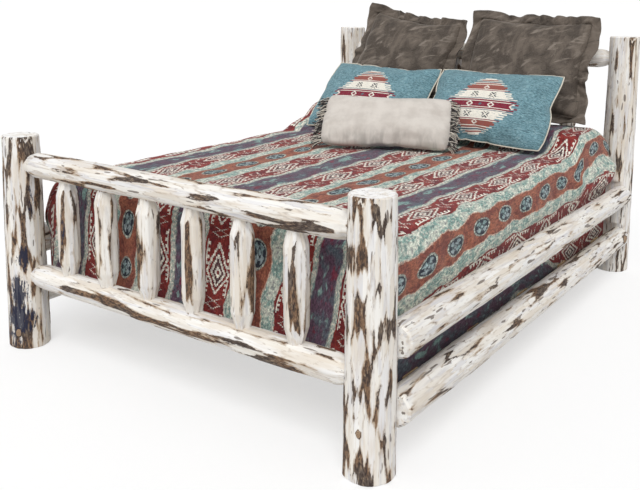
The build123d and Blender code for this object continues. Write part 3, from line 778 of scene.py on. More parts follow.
def striped_coverlet():
    """Jacquard stripes along the bed: rust with flowers, sage, red with fretwork, and slate."""
    f = Finish("striped_coverlet")
    lay = f.attribute("lay", "Vector")
    u, v, _ = f.parts(lay)

    def mottle(by, scale, detail, roughness=0.5, start=(0, 0, 0)):
        return f.noise(f.drawn(lay, by, start), scale, detail, roughness)

    cloudy = mottle((1.6, 0.8, 1), 14, 4.0, 0.65)
    speck = mottle((1, 0.5, 1), 130, 2.0, 0.6)
    splash = mottle((2.4, 1, 1), 9, 3.0, 0.6, (3, 1, 0))
    patch = mottle((2.2, 1, 1), 16, 2.0, 0.5, (1, 7, 0))
    fleck = mottle((1, 0.4, 1), 130, 3.0, 0.7, (5, 2, 0))
    heather = mottle((1, 0.3, 1), 420, 2.0, 0.7)
    drift = (mottle((0.5, 1, 1), 5.5, 1.0) - 0.5) * 0.05
    ragged = (mottle((1, 0.45, 1), 95, 3.0, 0.6) - 0.5) * 0.016

    offset = f.repeat(u + drift, STRIPE_PITCH)
    away = abs(offset)
    edge = away + (f.sine(v * (2 * math.pi / FLOWER_PITCH)) * 0.004 + ragged)
    hatch = f.sine(f.stitched(v, 0.006) * (2 * math.pi / 0.024))
    hatch = f.step(hatch, 0.2, 0.6) * f.step(patch, 0.60, 0.66) * 0.55
    rust = f.layer(RUST, (cloudy, 0.4, 0.62, 1, RUST_DARK))
    sage = f.layer(SAGE, (patch, 0.44, 0.58, 1, SAGE_PALE), (speck, 0.5, 0.64, 0.65, CREAM))
    sage = f.mix(hatch, sage, SLATE)
    pale = f.layer(BONE, (speck, 0.42, 0.62, 0.85, SAGE))
    red = f.layer(RED, (cloudy, 0.42, 0.68, 1, RED_DARK))
    slate = f.layer(
        SLATE,
        (cloudy, 0.38, 0.56, 1, PLUM),
        (splash, 0.56, 0.64, 0.9, TEAL),
        (splash, 0.40, 0.34, 0.75, BURGUNDY),
    )
    color = f.layer(rust, (edge, 0.051, 0.054, 1, sage))
    color = f.layer(
        f.mix(f.band(edge, 0.0505, 0.0545, 0.0012), color, RUST_SEAM),
        (edge, 0.099, 0.102, 1, pale),
        (edge, 0.106, 0.109, 1, red),
        (edge, 0.219, 0.223, 1, pale),
        (edge, 0.238, 0.250, 1, slate),
    )

    lines, heart = fretwork(f, away, v)
    lines = lines * f.step(speck, 0.3, 0.45, 0.35, 1.0)
    color = f.mix(lines, f.mix(heart * 0.7, color, FRET_HEART), CREAM)
    reach, petals = flowers(f, offset, v)
    halo = f.layer(MEDALLION_RIM, (speck, 0.45, 0.6, 1, SAGE_PALE))
    blue = f.layer(MEDALLION_BLUE, (cloudy, 0.4, 0.6, 1, MEDALLION_GREEN))
    color = f.layer(color, (reach, 1.04, 0.98, 1, halo), (reach, 0.87, 0.82, 1, INK))
    color = f.mix(petals * f.step(speck, 0.32, 0.5, 0.4, 1), color, blue)

    flecks = f.layer(FLECKS[0], (fleck, 0.3, 0.7, 1, FLECKS[1]))
    threads = f.layer(THREADS[0], (heather, 0.25, 0.75, 1, THREADS[1]))
    color = f.mix(0.9, f.mix(1.0, color, flecks, "MULTIPLY"), threads, "MULTIPLY")
    normal = f.weave(lay, 0.0032, None, 0.0009, 0.45)
    normal = f.bump(lines, 0.3, 0.0009, normal)
    normal = f.bump(f.noise(lay, 60, 3.0, 0.6), 0.25, 0.004, normal)
    return f.shade(color, 0.92, normal, Specular_IOR_Level=0.2, Sheen_Weight=0.12,
                   Sheen_Roughness=0.5)


TAUPE = (0.125, 0.10, 0.08)
TAUPE_DARK = (0.045, 0.034, 0.026)
# painted highlight and painted shade of the velvet, laid along its nap's slanted strokes
TAUPE_PAINTED_HIGHLIGHT = (0.255, 0.215, 0.18)
TAUPE_PAINTED_SHADE = (0.022, 0.017, 0.014)
TAUPE_FUZZ = (0.18, 0.15, 0.125)


def velvet():
    """Crushed velvet: painted highlight and painted shade in slanted strokes of its nap."""
    f = Finish("taupe_velvet")
    lay = f.attribute("lay", "Vector")
    x, y, _ = f.parts(lay)
    slanted = f.value("ShaderNodeCombineXYZ", {0: y * 0.7 + x, 1: x * -0.7 + y})
    crush = f.noise(f.drawn(lay, (1, 0.6, 1)), 8, 5.0, 0.62, 0.9)
    nap_and_painted_sheen = f.noise(f.drawn(slanted, (0.35, 1, 1)), 22, 5.0, 0.65, 0.7)
    fine = f.noise(lay, 160, 3.0, 0.7)
    color = f.layer(
        TAUPE_DARK,
        (crush, 0.4, 0.6, 1, TAUPE),
        # painted highlight and painted shade in slanted strokes, standing in for the nap's sheen
        (nap_and_painted_sheen, 0.52, 0.68, 0.75, TAUPE_PAINTED_HIGHLIGHT),
        (nap_and_painted_sheen, 0.46, 0.32, 0.75, TAUPE_PAINTED_SHADE),
        (fine, 0.3, 0.75, 0.3, TAUPE_FUZZ),
    )
    normal = f.bump(crush, 0.4, 0.008, f.bump(nap_and_painted_sheen, 0.3, 0.003, f.bump(fine, 0.25, 0.0008)))
    return f.shade(color, 0.75, normal, Specular_IOR_Level=0.3, Sheen_Weight=0.3,
                   Sheen_Roughness=0.35, Sheen_Tint=(0.75, 0.68, 0.6))


TEAL_DEEP = (0.072, 0.16, 0.195)
TEAL_LIT = (0.25, 0.43, 0.485)
TEAL_SLUB = (0.045, 0.085, 0.105)
TEAL_PALE = (0.34, 0.47, 0.49)
TEAL_CLOUD = (0.06, 0.12, 0.14)
WOVEN_RUST = (0.30, 0.085, 0.065)
WOVEN_INK = (0.05, 0.05, 0.055)
CRIMSON = (0.21, 0.012, 0.03)
MEDALLION_PLACE = (-0.012, -0.042)
MEDALLION_HALF = (0.19, 0.178)
MEDALLION_STITCH = 0.0042
# rows of the medallion from its middle out: where each starts, how wide it is and its colour
MEDALLION_ROWS = (
    (0.0, 0.84, CRIMSON), (0.05, 1.0, CRIMSON), (0.09, 0.80, CREAM), (0.12, 0.92, CRIMSON),
    (0.16, 0.74, CREAM), (0.185, 0.86, SLATE), (0.205, 0.92, CREAM), (0.235, 0.66, CREAM),
    (0.265, 0.80, CREAM), (0.30, 0.60, CREAM), (0.33, 0.74, CREAM), (0.37, 0.56, CREAM),
    (0.41, 0.72, CREAM), (0.45, 0.52, CREAM), (0.485, 0.66, BURGUNDY), (0.51, 0.60, CREAM),
    (0.54, 0.50, WOVEN_RUST), (0.60, 0.56, WOVEN_RUST), (0.66, 0.44, WOVEN_RUST),
    (0.70, 0.50, CREAM), (0.73, 0.36, WOVEN_RUST), (0.78, 0.42, CREAM), (0.81, 0.30, SLATE),
    (0.84, 0.36, CREAM), (0.88, 0.22, WOVEN_RUST), (0.92, 0.30, CREAM), (0.95, 0.16, CREAM),
)


def row_ramp(f, rows, stops):
    """The stop of the medallion's row that a point is in."""
    ramp = f.node("ShaderNodeValToRGB", {0: rows})
    ramp.color_ramp.interpolation = "CONSTANT"
    elements = ramp.color_ramp.elements
    while len(elements) < len(MEDALLION_ROWS):
        elements.new(0.5)
    for element, (place, _, _), stop in zip(elements, MEDALLION_ROWS, stops):
        element.position = place
        element.color = (*stop, 1)
    return Value(f, ramp.outputs[0])


def medallion(f, x, y):
    """The woven medallion's colours, and where it shows."""
    across = abs(f.stitched(x - MEDALLION_PLACE[0], MEDALLION_STITCH))
    level = abs(f.stitched(y - MEDALLION_PLACE[1], MEDALLION_STITCH))
    columns, rows = across / MEDALLION_HALF[0], level / MEDALLION_HALF[1]
    widths = row_ramp(f, rows, [(width, width, width) for _, width, _ in MEDALLION_ROWS])
    design = row_ramp(f, rows, [shade for _, _, shade in MEDALLION_ROWS])
    inside = f.step(columns - f.parts(widths)[0], 0.004, -0.004) * f.step(rows, 1.0, 0.99)

    motif, flower_row = abs(f.repeat(across, 0.092)), abs(level - 0.062)
    flower = f.step(abs(abs(motif - flower_row) - 0.007), 0.0035, 0.0025)
    flower = f.step(motif + flower_row, 0.030, 0.028) * flower * f.step(columns, 0.52, 0.5)
    star = abs(f.repeat(across, 0.11)) + level
    star = f.band(star, 0.010, 0.019, 0.0015) * f.step(rows, 0.17, 0.15)
    arrow = f.step(abs(abs(level - 0.108) + across - 0.012), 0.004, 0.003)
    design = f.mix(f.most(star, arrow), f.mix(flower, design, WOVEN_INK), CREAM)
    return f.layer(design, (across + level, 0.010, 0.008, 1, SLATE)), inside


def teal_weave():
    """Heathered teal cloth with a woven medallion in stepped rows on its front."""
    f = Finish("teal_weave")
    lay = f.attribute("lay", "Vector")
    x, y, front = f.parts(lay)
    thread = f.noise(f.drawn(lay, (0.22, 1, 1)), 330, 2.0, 0.7)
    slub = f.noise(f.drawn(lay, (0.2, 1, 1)), 130, 3.0, 0.65)
    color = f.layer(
        TEAL_DEEP,
        (thread, 0.35, 0.66, 1, TEAL_LIT),
        (slub, 0.52, 0.66, 0.6, TEAL_SLUB),
        (slub, 0.46, 0.34, 0.4, TEAL_PALE),
        (f.noise(lay, 14), 0.35, 0.65, 0.25, TEAL_CLOUD),
    )
    design, inside = medallion(f, x, y)
    mask = inside * f.step(front, 0.4, 0.6) * f.step(thread, 0.28, 0.5, 0.45, 1.0)
    normal = f.bump(mask, 0.3, 0.0008, f.weave(lay, 0.0022, None, 0.0007, 0.5))
    return f.shade(f.mix(mask, color, design), 0.9, normal, Specular_IOR_Level=0.2,
                   Sheen_Weight=0.1, Sheen_Roughness=0.5)


def napped(name, color, shade, sheen, grain, painted_crease_shade=0.0):
    """Plain cloth with a soft nap, and painted shade in creases above its lower edge."""
    f = Finish(name)
    lay = f.attribute("lay", "Vector")
    fine = f.noise(lay, grain, 3.0, 0.7)
    tone = f.layer(color, (f.noise(lay, 12, 3.0, 0.6), 0.35, 0.7, 1, shade))
    if painted_crease_shade:
        # painted shade: creases over the lower part of the front are darkened, where shade falls
        crease = f.noise(f.drawn(lay, (1, 0.35, 1)), 24, 3.0, 0.6, 0.4)
        low = f.step(f.parts(lay)[1], -0.05, -0.15) * f.step(crease, 0.42, 0.64, 0.35, 1.0)
        tone = f.mix(low * 0.8, tone, [channel * painted_crease_shade for channel in shade])
    tone = f.layer(tone, (fine, 0.35, 0.75, 0.35, shade))
    normal = f.weave(lay, 0.0016, f.bump(fine, 0.2, 0.0006), 0.0004, 0.35)
    return f.shade(tone, 0.85, normal, Specular_IOR_Level=0.25, Sheen_Weight=sheen,
                   Sheen_Roughness=0.45)


YARN_DARK, YARN_PALE = (0.035, 0.032, 0.034), (0.66, 0.61, 0.53)
YARN_FUZZ = (0.2, 0.18, 0.17)


def yarn():
    f = Finish("yarn_fringe")
    color = f.layer(
        YARN_DARK,
        (f.attribute("tone"), 0.45, 0.55, 1, YARN_PALE),
        (f.noise(f.place(), 700), 0.4, 0.7, 0.4, YARN_FUZZ),
    )
    normal = f.bump(f.noise(f.place(), 900), 0.4, 0.0006)
    return f.shade(color, 0.9, normal, Specular_IOR_Level=0.2)


# ---- bedding: coverlet ----

# creases in the coverlet's hanging sides: from and to as (y, z), width and height
SIDE_FOLDS = (
    ((0.35, 0.62), (0.75, 0.47), 0.018, 0.009),
    ((0.55, 0.62), (0.95, 0.50), 0.016, 0.010),
    ((-0.15, 0.60), (0.20, 0.46), 0.022, 0.006),
    ((-0.95, 0.60), (-0.70, 0.46), 0.020, 0.006),
    ((-0.55, 0.58), (-0.35, 0.46), 0.020, 0.005),
)


def coverlet_rise(y):
    """How far the coverlet lies above its flat level, over the sleeping pillows."""
    return 0.084 * (smooth(y, 0.54, 0.70) - 0.45 * smooth(y, 0.90, 1.04))


def over_edge(run, flat, radius):
    """How far out and down cloth gets that runs over a rounded edge."""
    turn = np.clip((run - flat) / radius, 0, math.pi / 2)
    out = np.minimum(run, flat) + radius * np.sin(turn)
    drop = radius * (1 - np.cos(turn)) + np.maximum(run - flat - radius * math.pi / 2, 0)
    return out, drop


def fold(level, start, stop, width):
    """A crease from start to stop that fades towards both its ends."""
    start, stop = np.array(start), np.array(stop)
    share = np.clip((level - start) @ (stop - start) / np.sum((stop - start) ** 2), 0, 1)
    away = np.linalg.norm(level - start - share[:, None] * (stop - start), axis=1)
    return bell(away, width) * np.sin(math.pi * np.clip(share, 0.02, 0.98)) ** 0.5


def flat_coverlet(half_width, length, side_start, foot_drop):
    """The sheet before it is laid, without its two foot corners, and the area they take."""
    mesh = bmesh.new()
    cells = [round(size / COVERLET_CELL) for size in (2 * half_width, length)]
    bmesh.ops.create_grid(mesh, x_segments=cells[0], y_segments=cells[1], size=1)
    bmesh.ops.scale(mesh, verts=mesh.verts, vec=(half_width, length / 2, 1))

    def cut_off(middle):
        return abs(middle.x) > side_start and middle.y + length / 2 < foot_drop

    corners = [face for face in mesh.faces if cut_off(face.calc_center_median())]
    cut_area = sum(face.calc_area() for face in corners)
    bmesh.ops.delete(mesh, geom=corners, context="FACES")
    return piece_from(mesh, "striped_coverlet"), cut_area


def hang_sides(x, y, z, hand, drop):
    """Waves and creases of the two hanging sides; x is the distance from the bed's middle."""
    hang = smooth(drop, 0.03, 0.14)
    above_rail = smooth(z, 0.43, 0.5)
    level = np.column_stack((y, z))
    billow = 0.5 + 0.5 * waves(level, 73, (0.07, 0.3), 6)
    x = x + hang * (0.0012 + 0.008 * above_rail) * billow
    low_down = above_rail * (1 - smooth(z, 0.53, 0.62))
    x = x + hang * 0.0035 * low_down * waves(level, 76, (0.02, 0.12), 6)
    bunched = 0.034 + 0.012 * waves(level, 77, (0.022, 0.05), 6)
    x = x + hang * smooth(y, 0.45, 0.95) * band_of(z, 0.45, 0.56) * bunched
    for start, stop, width, height in SIDE_FOLDS:
        x = x + hang * above_rail * height * fold(level, start, stop, width)
    y = y + 0.045 * hang * smooth(y, 0.6, 1.0)
    x = x + 0.03 * hang * ((hand < 0) * bell(y + 1.0, 0.1) * band_of(z, 0.44, 0.62))
    around_end = np.clip(y - 1.02, 0, None) * hang
    turn = np.clip(around_end / HEAD_ROLL, 0, math.pi / 2)
    y = y - around_end + HEAD_ROLL * np.sin(turn)
    past_turn = np.clip(around_end - HEAD_ROLL * math.pi / 2, 0, None)
    return x - HEAD_ROLL * (1 - np.cos(turn)) - past_turn, y


def hang_foot(x, y, hand, drop, fall):
    """Pleats of the foot drop, and the sides' and the foot's edges tucked in where they meet."""
    hang = smooth(fall, 0.03, 0.3)
    swing = np.column_stack((hand * x + 0.12 * fall, 0.3 * fall))
    pleat = 0.5 + 0.5 * waves(swing, 74, (0.035, 0.3), 7)
    near_corner = smooth(np.abs(hand * x), 0.5, 0.72)
    y = y - hang * (0.007 + 0.009 * near_corner) * pleat
    turn_in = smooth(np.abs(x), COVERLET_HALF - 0.07, COVERLET_HALF + 0.01)
    y = y + hang * 0.022 * turn_in * (fall > 0.03)
    turn_in = smooth(-y, -COVERLET_FOOT - 0.07, -COVERLET_FOOT + 0.01) * (fall < 0.06)
    return x - smooth(drop, 0.03, 0.3) * 0.02 * turn_in, y


def pattern_place(x, y, z, across, run, hand, fall):
    """Where each point lies in the woven pattern, which was laid askew over the bed."""
    out = np.abs(across)
    lower = np.interp(y, (-1.04, -0.775, -0.4, 0.38, 1.0), (0.045, 0.03, 0.0, -0.02, -0.03))
    take_up = 0.069 * smooth(out, 0.45, 0.8) - lower * smooth(out, 0.7, 0.85)
    take_up = take_up - 0.09 * smooth(out, 0.6, 0.76) * (hand < 0)
    take_up = take_up - 0.19 * smooth(y, 0.0, 0.6) * (1 - smooth(z, 0.34, 0.44)) * (fall == 0)
    slant = np.interp(hand * x, (-0.8, 0.2, 0.6, 0.8), (0.13, 0.13, 0.22, 0.4))
    u = across + hand * take_up + slant * fall - 0.007 * smooth(fall, 0, 0.1)
    v = COVERLET_HEAD - run - 0.06 * smooth(fall, 0, 0.1)
    return np.column_stack((u, v, np.zeros(len(u))))


def make_coverlet():
    """One sheet with split foot corners, laid on the mattress and hanging on three sides."""
    flat = COVERLET_HALF - COVERLET_SHOULDER
    roll = COVERLET_SHOULDER * math.pi / 2
    foot_drop = COVERLET_TOP - COVERLET_FOOT_ROLL - COVERLET_HEM
    top_length = COVERLET_HEAD - COVERLET_FOOT - COVERLET_FOOT_ROLL
    half_width = flat + roll + COVERLET_TOP - COVERLET_SHOULDER - COVERLET_HEM
    length = top_length + COVERLET_FOOT_ROLL * math.pi / 2 + foot_drop
    piece, cut_area = flat_coverlet(half_width, length, flat + roll, foot_drop)
    points = corners_of(piece)
    across, run = points[:, 0], length / 2 - points[:, 1]
    hand = np.sign(across)
    x, drop = over_edge(np.abs(across), flat, COVERLET_SHOULDER)
    out, fall = over_edge(run, top_length, COVERLET_FOOT_ROLL)
    y = COVERLET_HEAD - out
    z = COVERLET_TOP + coverlet_rise(y) * (1 - smooth(drop, 0.05, 0.36)) - drop - fall
    z = z - 10 * np.clip(y - MATTRESS_HEAD, 0, None) ** 2
    lifted = np.where(fall > 0.05, 1, (hand < 0) * smooth(-y, 0.75, 1.0))
    z = z + HEM_LIFT * smooth(np.maximum(drop, fall), 0.2, 0.42) * lifted

    # the top's soft unevenness, and a ridge before the pillows at the left
    on_top = (1 - smooth(drop, 0, 0.06)) * (1 - smooth(fall, 0, 0.05))
    place = np.column_stack((hand * x, y))
    z = z + on_top * 0.0026 * waves(place, 71, (0.05, 0.09), 9)
    z = z + on_top * 0.0014 * waves(place, 72, (0.02, 0.03), 9)
    ridge = np.interp(y, (0.40, 0.46, 0.53, 0.70, 0.85), (0, 0.035, 0.058, 0.04, 0))
    z = z + ridge * bell(hand * x + 0.67, 0.09) * on_top

    x, y = hang_sides(x, y, z, hand, drop)
    x, y = hang_foot(x, y, hand, drop, fall)
    set_vector(piece, "lay", pattern_place(x, y, z, across, run, hand, fall))
    set_corners(piece, np.column_stack((hand * x, y, z)))
    hem = piece.modifiers.new("cloth thickness", "SOLIDIFY")
    hem.thickness = CLOTH_THICKNESS
    hem.offset = -1
    settle(piece, striped_coverlet(), "root", ["coverlet"])
    4 * half_width * length / 2 - cut_area


make_coverlet()


# ---- bedding: pillows ----

CASE_CLOTH = {
    "quality": 6,
    "mass": 0.3,
    "tension_stiffness": 20,
    "compression_stiffness": 20,
    "shear_stiffness": 12,
    "bending_stiffness": 0.4,
    "air_damping": 3,
    "use_pressure": True,
}
STUFFING_FRAMES = 22


def sewn_case(width, height, flange, columns, seed, dome=0.03):
    """A case lying flat: two layers joined along their seam, with a flat flange outside it."""
    cell = width / columns
    rows = max(4, round(height / cell))
    rim = round(flange / cell)
    mesh = bmesh.new()
    part = mesh.verts.layers.int.new("part")
    trim = mesh.faces.layers.int.new("trim")
    bmesh.ops.create_grid(
        mesh, x_segments=columns + 2 * rim, y_segments=rows + 2 * rim, size=0.5
    )
    bmesh.ops.scale(mesh, verts=mesh.verts, vec=(width + 2 * flange, height + 2 * flange, 1))
    half_x, half_y = width / 2 - cell / 4, height / 2 - cell / 4

    def stuffed(point):
        return abs(point.x) < half_x and abs(point.y) < half_y

    body = [face for face in mesh.faces if stuffed(face.calc_center_median())]
    for face in mesh.faces:
        face[trim] = 0 if stuffed(face.calc_center_median()) else 1
    made = bmesh.ops.duplicate(mesh, geom=body)["geom"]
    under = {item for item in made if isinstance(item, bmesh.types.BMVert)}
    backs = [item for item in made if isinstance(item, bmesh.types.BMFace)]
    bmesh.ops.reverse_faces(mesh, faces=backs)
    rng = np.random.default_rng(seed)
    for corner in mesh.verts:
        x, y = 2 * corner.co.x / width, 2 * corner.co.y / height
        corner[part] = (2 if corner in under else 1) if stuffed(corner.co) else 0
        if corner[part]:
            rise = dome * (1 - x * x) * (1 - y * y)
            corner.co.z = (rise if corner[part] == 1 else -rise) + rng.normal(0, 0.0004)
        corner.co.x *= 1 + 0.03 * (1 - min(abs(y), 1) ** 2)
        corner.co.y *= 1 + 0.03 * (1 - min(abs(x), 1) ** 2)
    seam = [corner for corner in mesh.verts if corner[part] == 0]
    bmesh.ops.remove_doubles(mesh, verts=seam, dist=1e-5)
    return mesh


def stuff(piece, pressure):
    """Blows the case up as cloth, and gives the places of its corners then."""
    fill = piece.modifiers.new("filling", "CLOTH")
    for key, value in CASE_CLOTH.items():
        setattr(fill.settings, key, value)
    fill.settings.uniform_pressure_force = pressure
    fill.settings.vertex_group_pressure = "stuffed"
    fill.settings.effector_weights.gravity = 0
    fill.collision_settings.use_collision = False
    fill.point_cache.frame_start = 1
    fill.point_cache.frame_end = STUFFING_FRAMES
    for frame_number in range(1, STUFFING_FRAMES + 1):
        bpy.context.scene.frame_set(frame_number)
    graph = bpy.context.evaluated_depsgraph_get()
    result = np.array([corner.co for corner in piece.evaluated_get(graph).data.vertices])
    piece.modifiers.clear()
    bpy.context.scene.frame_set(1)
    return result


def pillow_matrix(size, place):
    """The plane of a leaning pillow: x across, y up its front, and z out of it."""
    x, y, lift, lean, turn, tip = place
    spin = Matrix.Rotation(math.radians(turn), 3, "Z")
    across = spin @ Vector((1, 0, 0))
    up = spin @ Vector((0, math.cos(math.radians(lean)), math.sin(math.radians(lean))))
    middle = Vector((x, y, COVERLET_TOP + lift)) + up * (size[1] / 2)
    axes = Matrix((across, up, across.cross(up))).transposed().to_4x4()
    return Matrix.Translation(middle) @ axes @ Matrix.Rotation(math.radians(-tip), 4, "Z")


def fit_case(points, flat, wanted, height, sag, draw_in, fullness):
    """Brings a stuffed case to its wanted size, and its outline part way to the flat one's."""
    low, high = points.min(0), points.max(0)
    points = (points - (low + high) / 2) * wanted / (high - low)
    spread = flat * wanted / (flat.max(0) - flat.min(0) + (0, 0, 1))
    points[:, :2] = draw_in * points[:, :2] + (1 - draw_in) * spread[:, :2]
    points[:, 2] *= 1 - sag * points[:, 1] / height
    top = max(np.abs(points[:, 2]).max(), 1e-6)
    points[:, 2] = np.sign(points[:, 2]) * top * (np.abs(points[:, 2]) / top) ** fullness
    return points


def crease_case(points, flat, part, wanted, seed, folds, pulls, blunt):
    """Moves a case's corners and seams, and puts creases in its front."""
    right, upper = flat[:, 0] / wanted[0] + 0.5, flat[:, 1] / wanted[1] + 0.5
    to_corner = np.clip((2 * np.abs(flat[:, :2]) / (wanted[:2] * 1.03) - 0.8) / 0.2, 0, 1)
    taken_in = 0.016 * blunt * to_corner[:, 0] * to_corner[:, 1]
    points[:, :2] -= taken_in[:, None] * np.sign(flat[:, :2])
    end, edge = np.abs(2 * right - 1), np.abs(2 * upper - 1)
    points[:, 0] += 0.004 * waves(flat[:, 1:2], seed + 3, (0.06,), 4) * end**3
    points[:, 1] += 0.005 * waves(flat[:, 0:1], seed + 4, (0.07,), 4) * edge**3
    shares = ((1 - right) * upper, right * upper, right * (1 - upper), (1 - right) * (1 - upper))
    for share, pull in zip(shares, pulls):
        points[:, :2] += share[:, None] * pull
    near_rim = 1 - np.clip(np.minimum(1 - end, 1 - edge) / 0.55, 0, 1)
    crease = waves(flat[:, :2], seed + 5, (0.035, 0.014), 9) * near_rim
    crease = crease + 0.5 * waves(flat[:, :2], seed + 6, (0.05, 0.03), 7)
    points[:, 2] += folds * crease * (part == 1)


def wave_flange(points, flat, size, flange, seed):
    outside = np.max(np.abs(flat[:, :2]) - np.array(size[:2]) / 2, axis=1)
    outside = smooth(outside, 0.005, flange)
    for axis, height, scale in ((2, 0.011, (0.045, 0.045)), (0, 0.006, (0.05, 0.03)),
                                (1, 0.006, (0.03, 0.05))):
        points[:, axis] += outside * height * waves(flat[:, :2], seed, scale, 6)
        seed += 1


def make_pillow(name, size, plane, seed, flange=0, pressure=3.2, columns=60, sag=0.0,
                draw_in=0.4, fullness=1.0, folds=0.0, pulls=NO_PULLS, blunt=1.0):
    """A stuffed case of the wanted size, with its flange round it where it has one.

    sag fills its lower part, draw_in is the share of the cloth's own outline, fullness below 1
    swells it near its seams, folds are its creases' height, pulls move its corners and blunt
    takes them in.
    """
    mesh = sewn_case(size[0] * 1.05, size[1] * 1.06, flange * 1.08, columns, seed)
    whole = piece_from(mesh, name)
    part = np.array([entry.value for entry in whole.data.attributes["part"].data])
    flat = corners_of(whole)
    stuffed = whole.vertex_groups.new(name="stuffed")
    stuffed.add([int(i) for i in np.nonzero(part)[0]], 1, "REPLACE")
    points = stuff(whole, pressure)
    wanted = np.array((size[0] + 2 * flange, size[1] + 2 * flange, size[2]))
    points = fit_case(points, flat, wanted, size[1], sag, draw_in, fullness)
    crease_case(points, flat, part, wanted, seed, folds, pulls, blunt)
    if flange:
        wave_flange(points, flat, size, flange, seed + 7)
    set_corners(whole, points)
    whole.vertex_groups.clear()
    set_vector(whole, "lay", np.column_stack((flat[:, 0], flat[:, 1], part != 2)))
    whole.data.transform(plane)
    return whole


def rounded(piece):
    """Gives the piece one subdivision, applied."""
    piece.modifiers.new("smooth cloth", "SUBSURF").levels = 1
    graph = bpy.context.evaluated_depsgraph_get()
    finer = bpy.data.meshes.new_from_object(piece.evaluated_get(graph))
    piece.modifiers.clear()
    piece.data = finer


def keep_faces(piece, name, wanted):
    """A copy of a piece with only its stuffed part (0) or only its flange (1)."""
    mesh = bmesh.new()
    mesh.from_mesh(piece.data)
    trim = mesh.faces.layers.int["trim"]
    others = [face for face in mesh.faces if face[trim] != wanted]
    bmesh.ops.delete(mesh, geom=others, context="FACES")
    loose = [corner for corner in mesh.verts if not corner.link_faces]
    bmesh.ops.delete(mesh, geom=loose, context="VERTS")
    return piece_from(mesh, name)


def seam_loop(piece):
    """The seam's points in order round the pillow."""
    mesh = bmesh.new()
    mesh.from_mesh(piece.data)
    layer = mesh.verts.layers.int["part"]
    seam = {corner for corner in mesh.verts if corner[layer] == 0}
    start = corner = min(seam, key=lambda c: c.index)
    loop, last = [], None
    while True:
        loop.append(corner.co.copy())
        ways = [edge.other_vert(corner) for edge in corner.link_edges]
        ways = [other for other in ways if other in seam and other is not last]
        last, corner = corner, ways[0]
        if corner is start:
            break
    mesh.free()
    return loop


def cord_round(name, points, radius):
    """A round closed cord along points, as a mesh."""
    curve = bpy.data.curves.new(name, "CURVE")
    curve.dimensions = "3D"
    curve.bevel_depth = radius
    curve.bevel_resolution = 2
    line = curve.splines.new("POLY")
    line.points.add(len(points) - 1)
    for knot, point in zip(line.points, points):
        knot.co = (*point, 1)
    line.use_cyclic_u = True
    made = show(name, curve)
    mesh = bpy.data.meshes.new_from_object(made)
    bpy.data.objects.remove(made)
    mesh.polygons.foreach_set("use_smooth", [True] * len(mesh.polygons))
    piece = show(name, mesh)
    set_vector(piece, "lay", corners_of(piece))
    return piece


velvet_finish, teal_finish, yarn_finish = velvet(), teal_weave(), yarn()
# the pale suede's last number sets how dark the painted shade in its lower creases is
suede_finish = napped("pale_suede", (0.66, 0.615, 0.565), (0.54, 0.495, 0.45), 0.35, 320, 0.6)
cotton_finish = napped("sleeping_case", (0.80, 0.79, 0.76), (0.72, 0.71, 0.69), 0.1, 500)
piping_finish = napped("cream_piping", (0.70, 0.65, 0.55), (0.58, 0.53, 0.44), 0.1, 600)


def make_sham(hand, seed):
    body = f"sham_{hand}"
    plane = pillow_matrix((SHAM[0], SHAM[1] + 2 * SHAM_FLANGE), SHAM_PLACES[hand])
    whole = make_pillow(f"{body}_cloth", SHAM, plane, seed, SHAM_FLANGE, pressure=3.4, sag=0.12,
                        fullness=0.72, folds=0.0045, pulls=SHAM_PULLS[hand], blunt=0.3)
    rounded(whole)
    pillow = keep_faces(whole, f"velvet_sham_{hand}", 0)
    flange = keep_faces(whole, f"velvet_flange_{hand}", 1)
    bpy.data.objects.remove(whole)
    doubled = flange.modifiers.new("doubled cloth", "SOLIDIFY")
    doubled.thickness = CLOTH_THICKNESS
    doubled.offset = 0
    settle(pillow, velvet_finish, body, [body])
    settle(flange, velvet_finish, body, [f"sham_flange_{hand}"])


def make_accent(hand, seed):
    body = f"accent_{hand}"
    plane = pillow_matrix(ACCENT, ACCENT_PLACES[hand])
    pillow = make_pillow(f"teal_pillow_{hand}", ACCENT, plane, seed, columns=66, sag=0.15,
                         fullness=0.75, folds=0.003, blunt=0.35)
    piping = cord_round(f"teal_pillow_piping_{hand}", seam_loop(pillow), PIPING_RADIUS)
    rounded(pillow)
    settle(pillow, teal_finish, body, [f"accent_pillow_{hand}"])
    settle(piping, piping_finish, body)


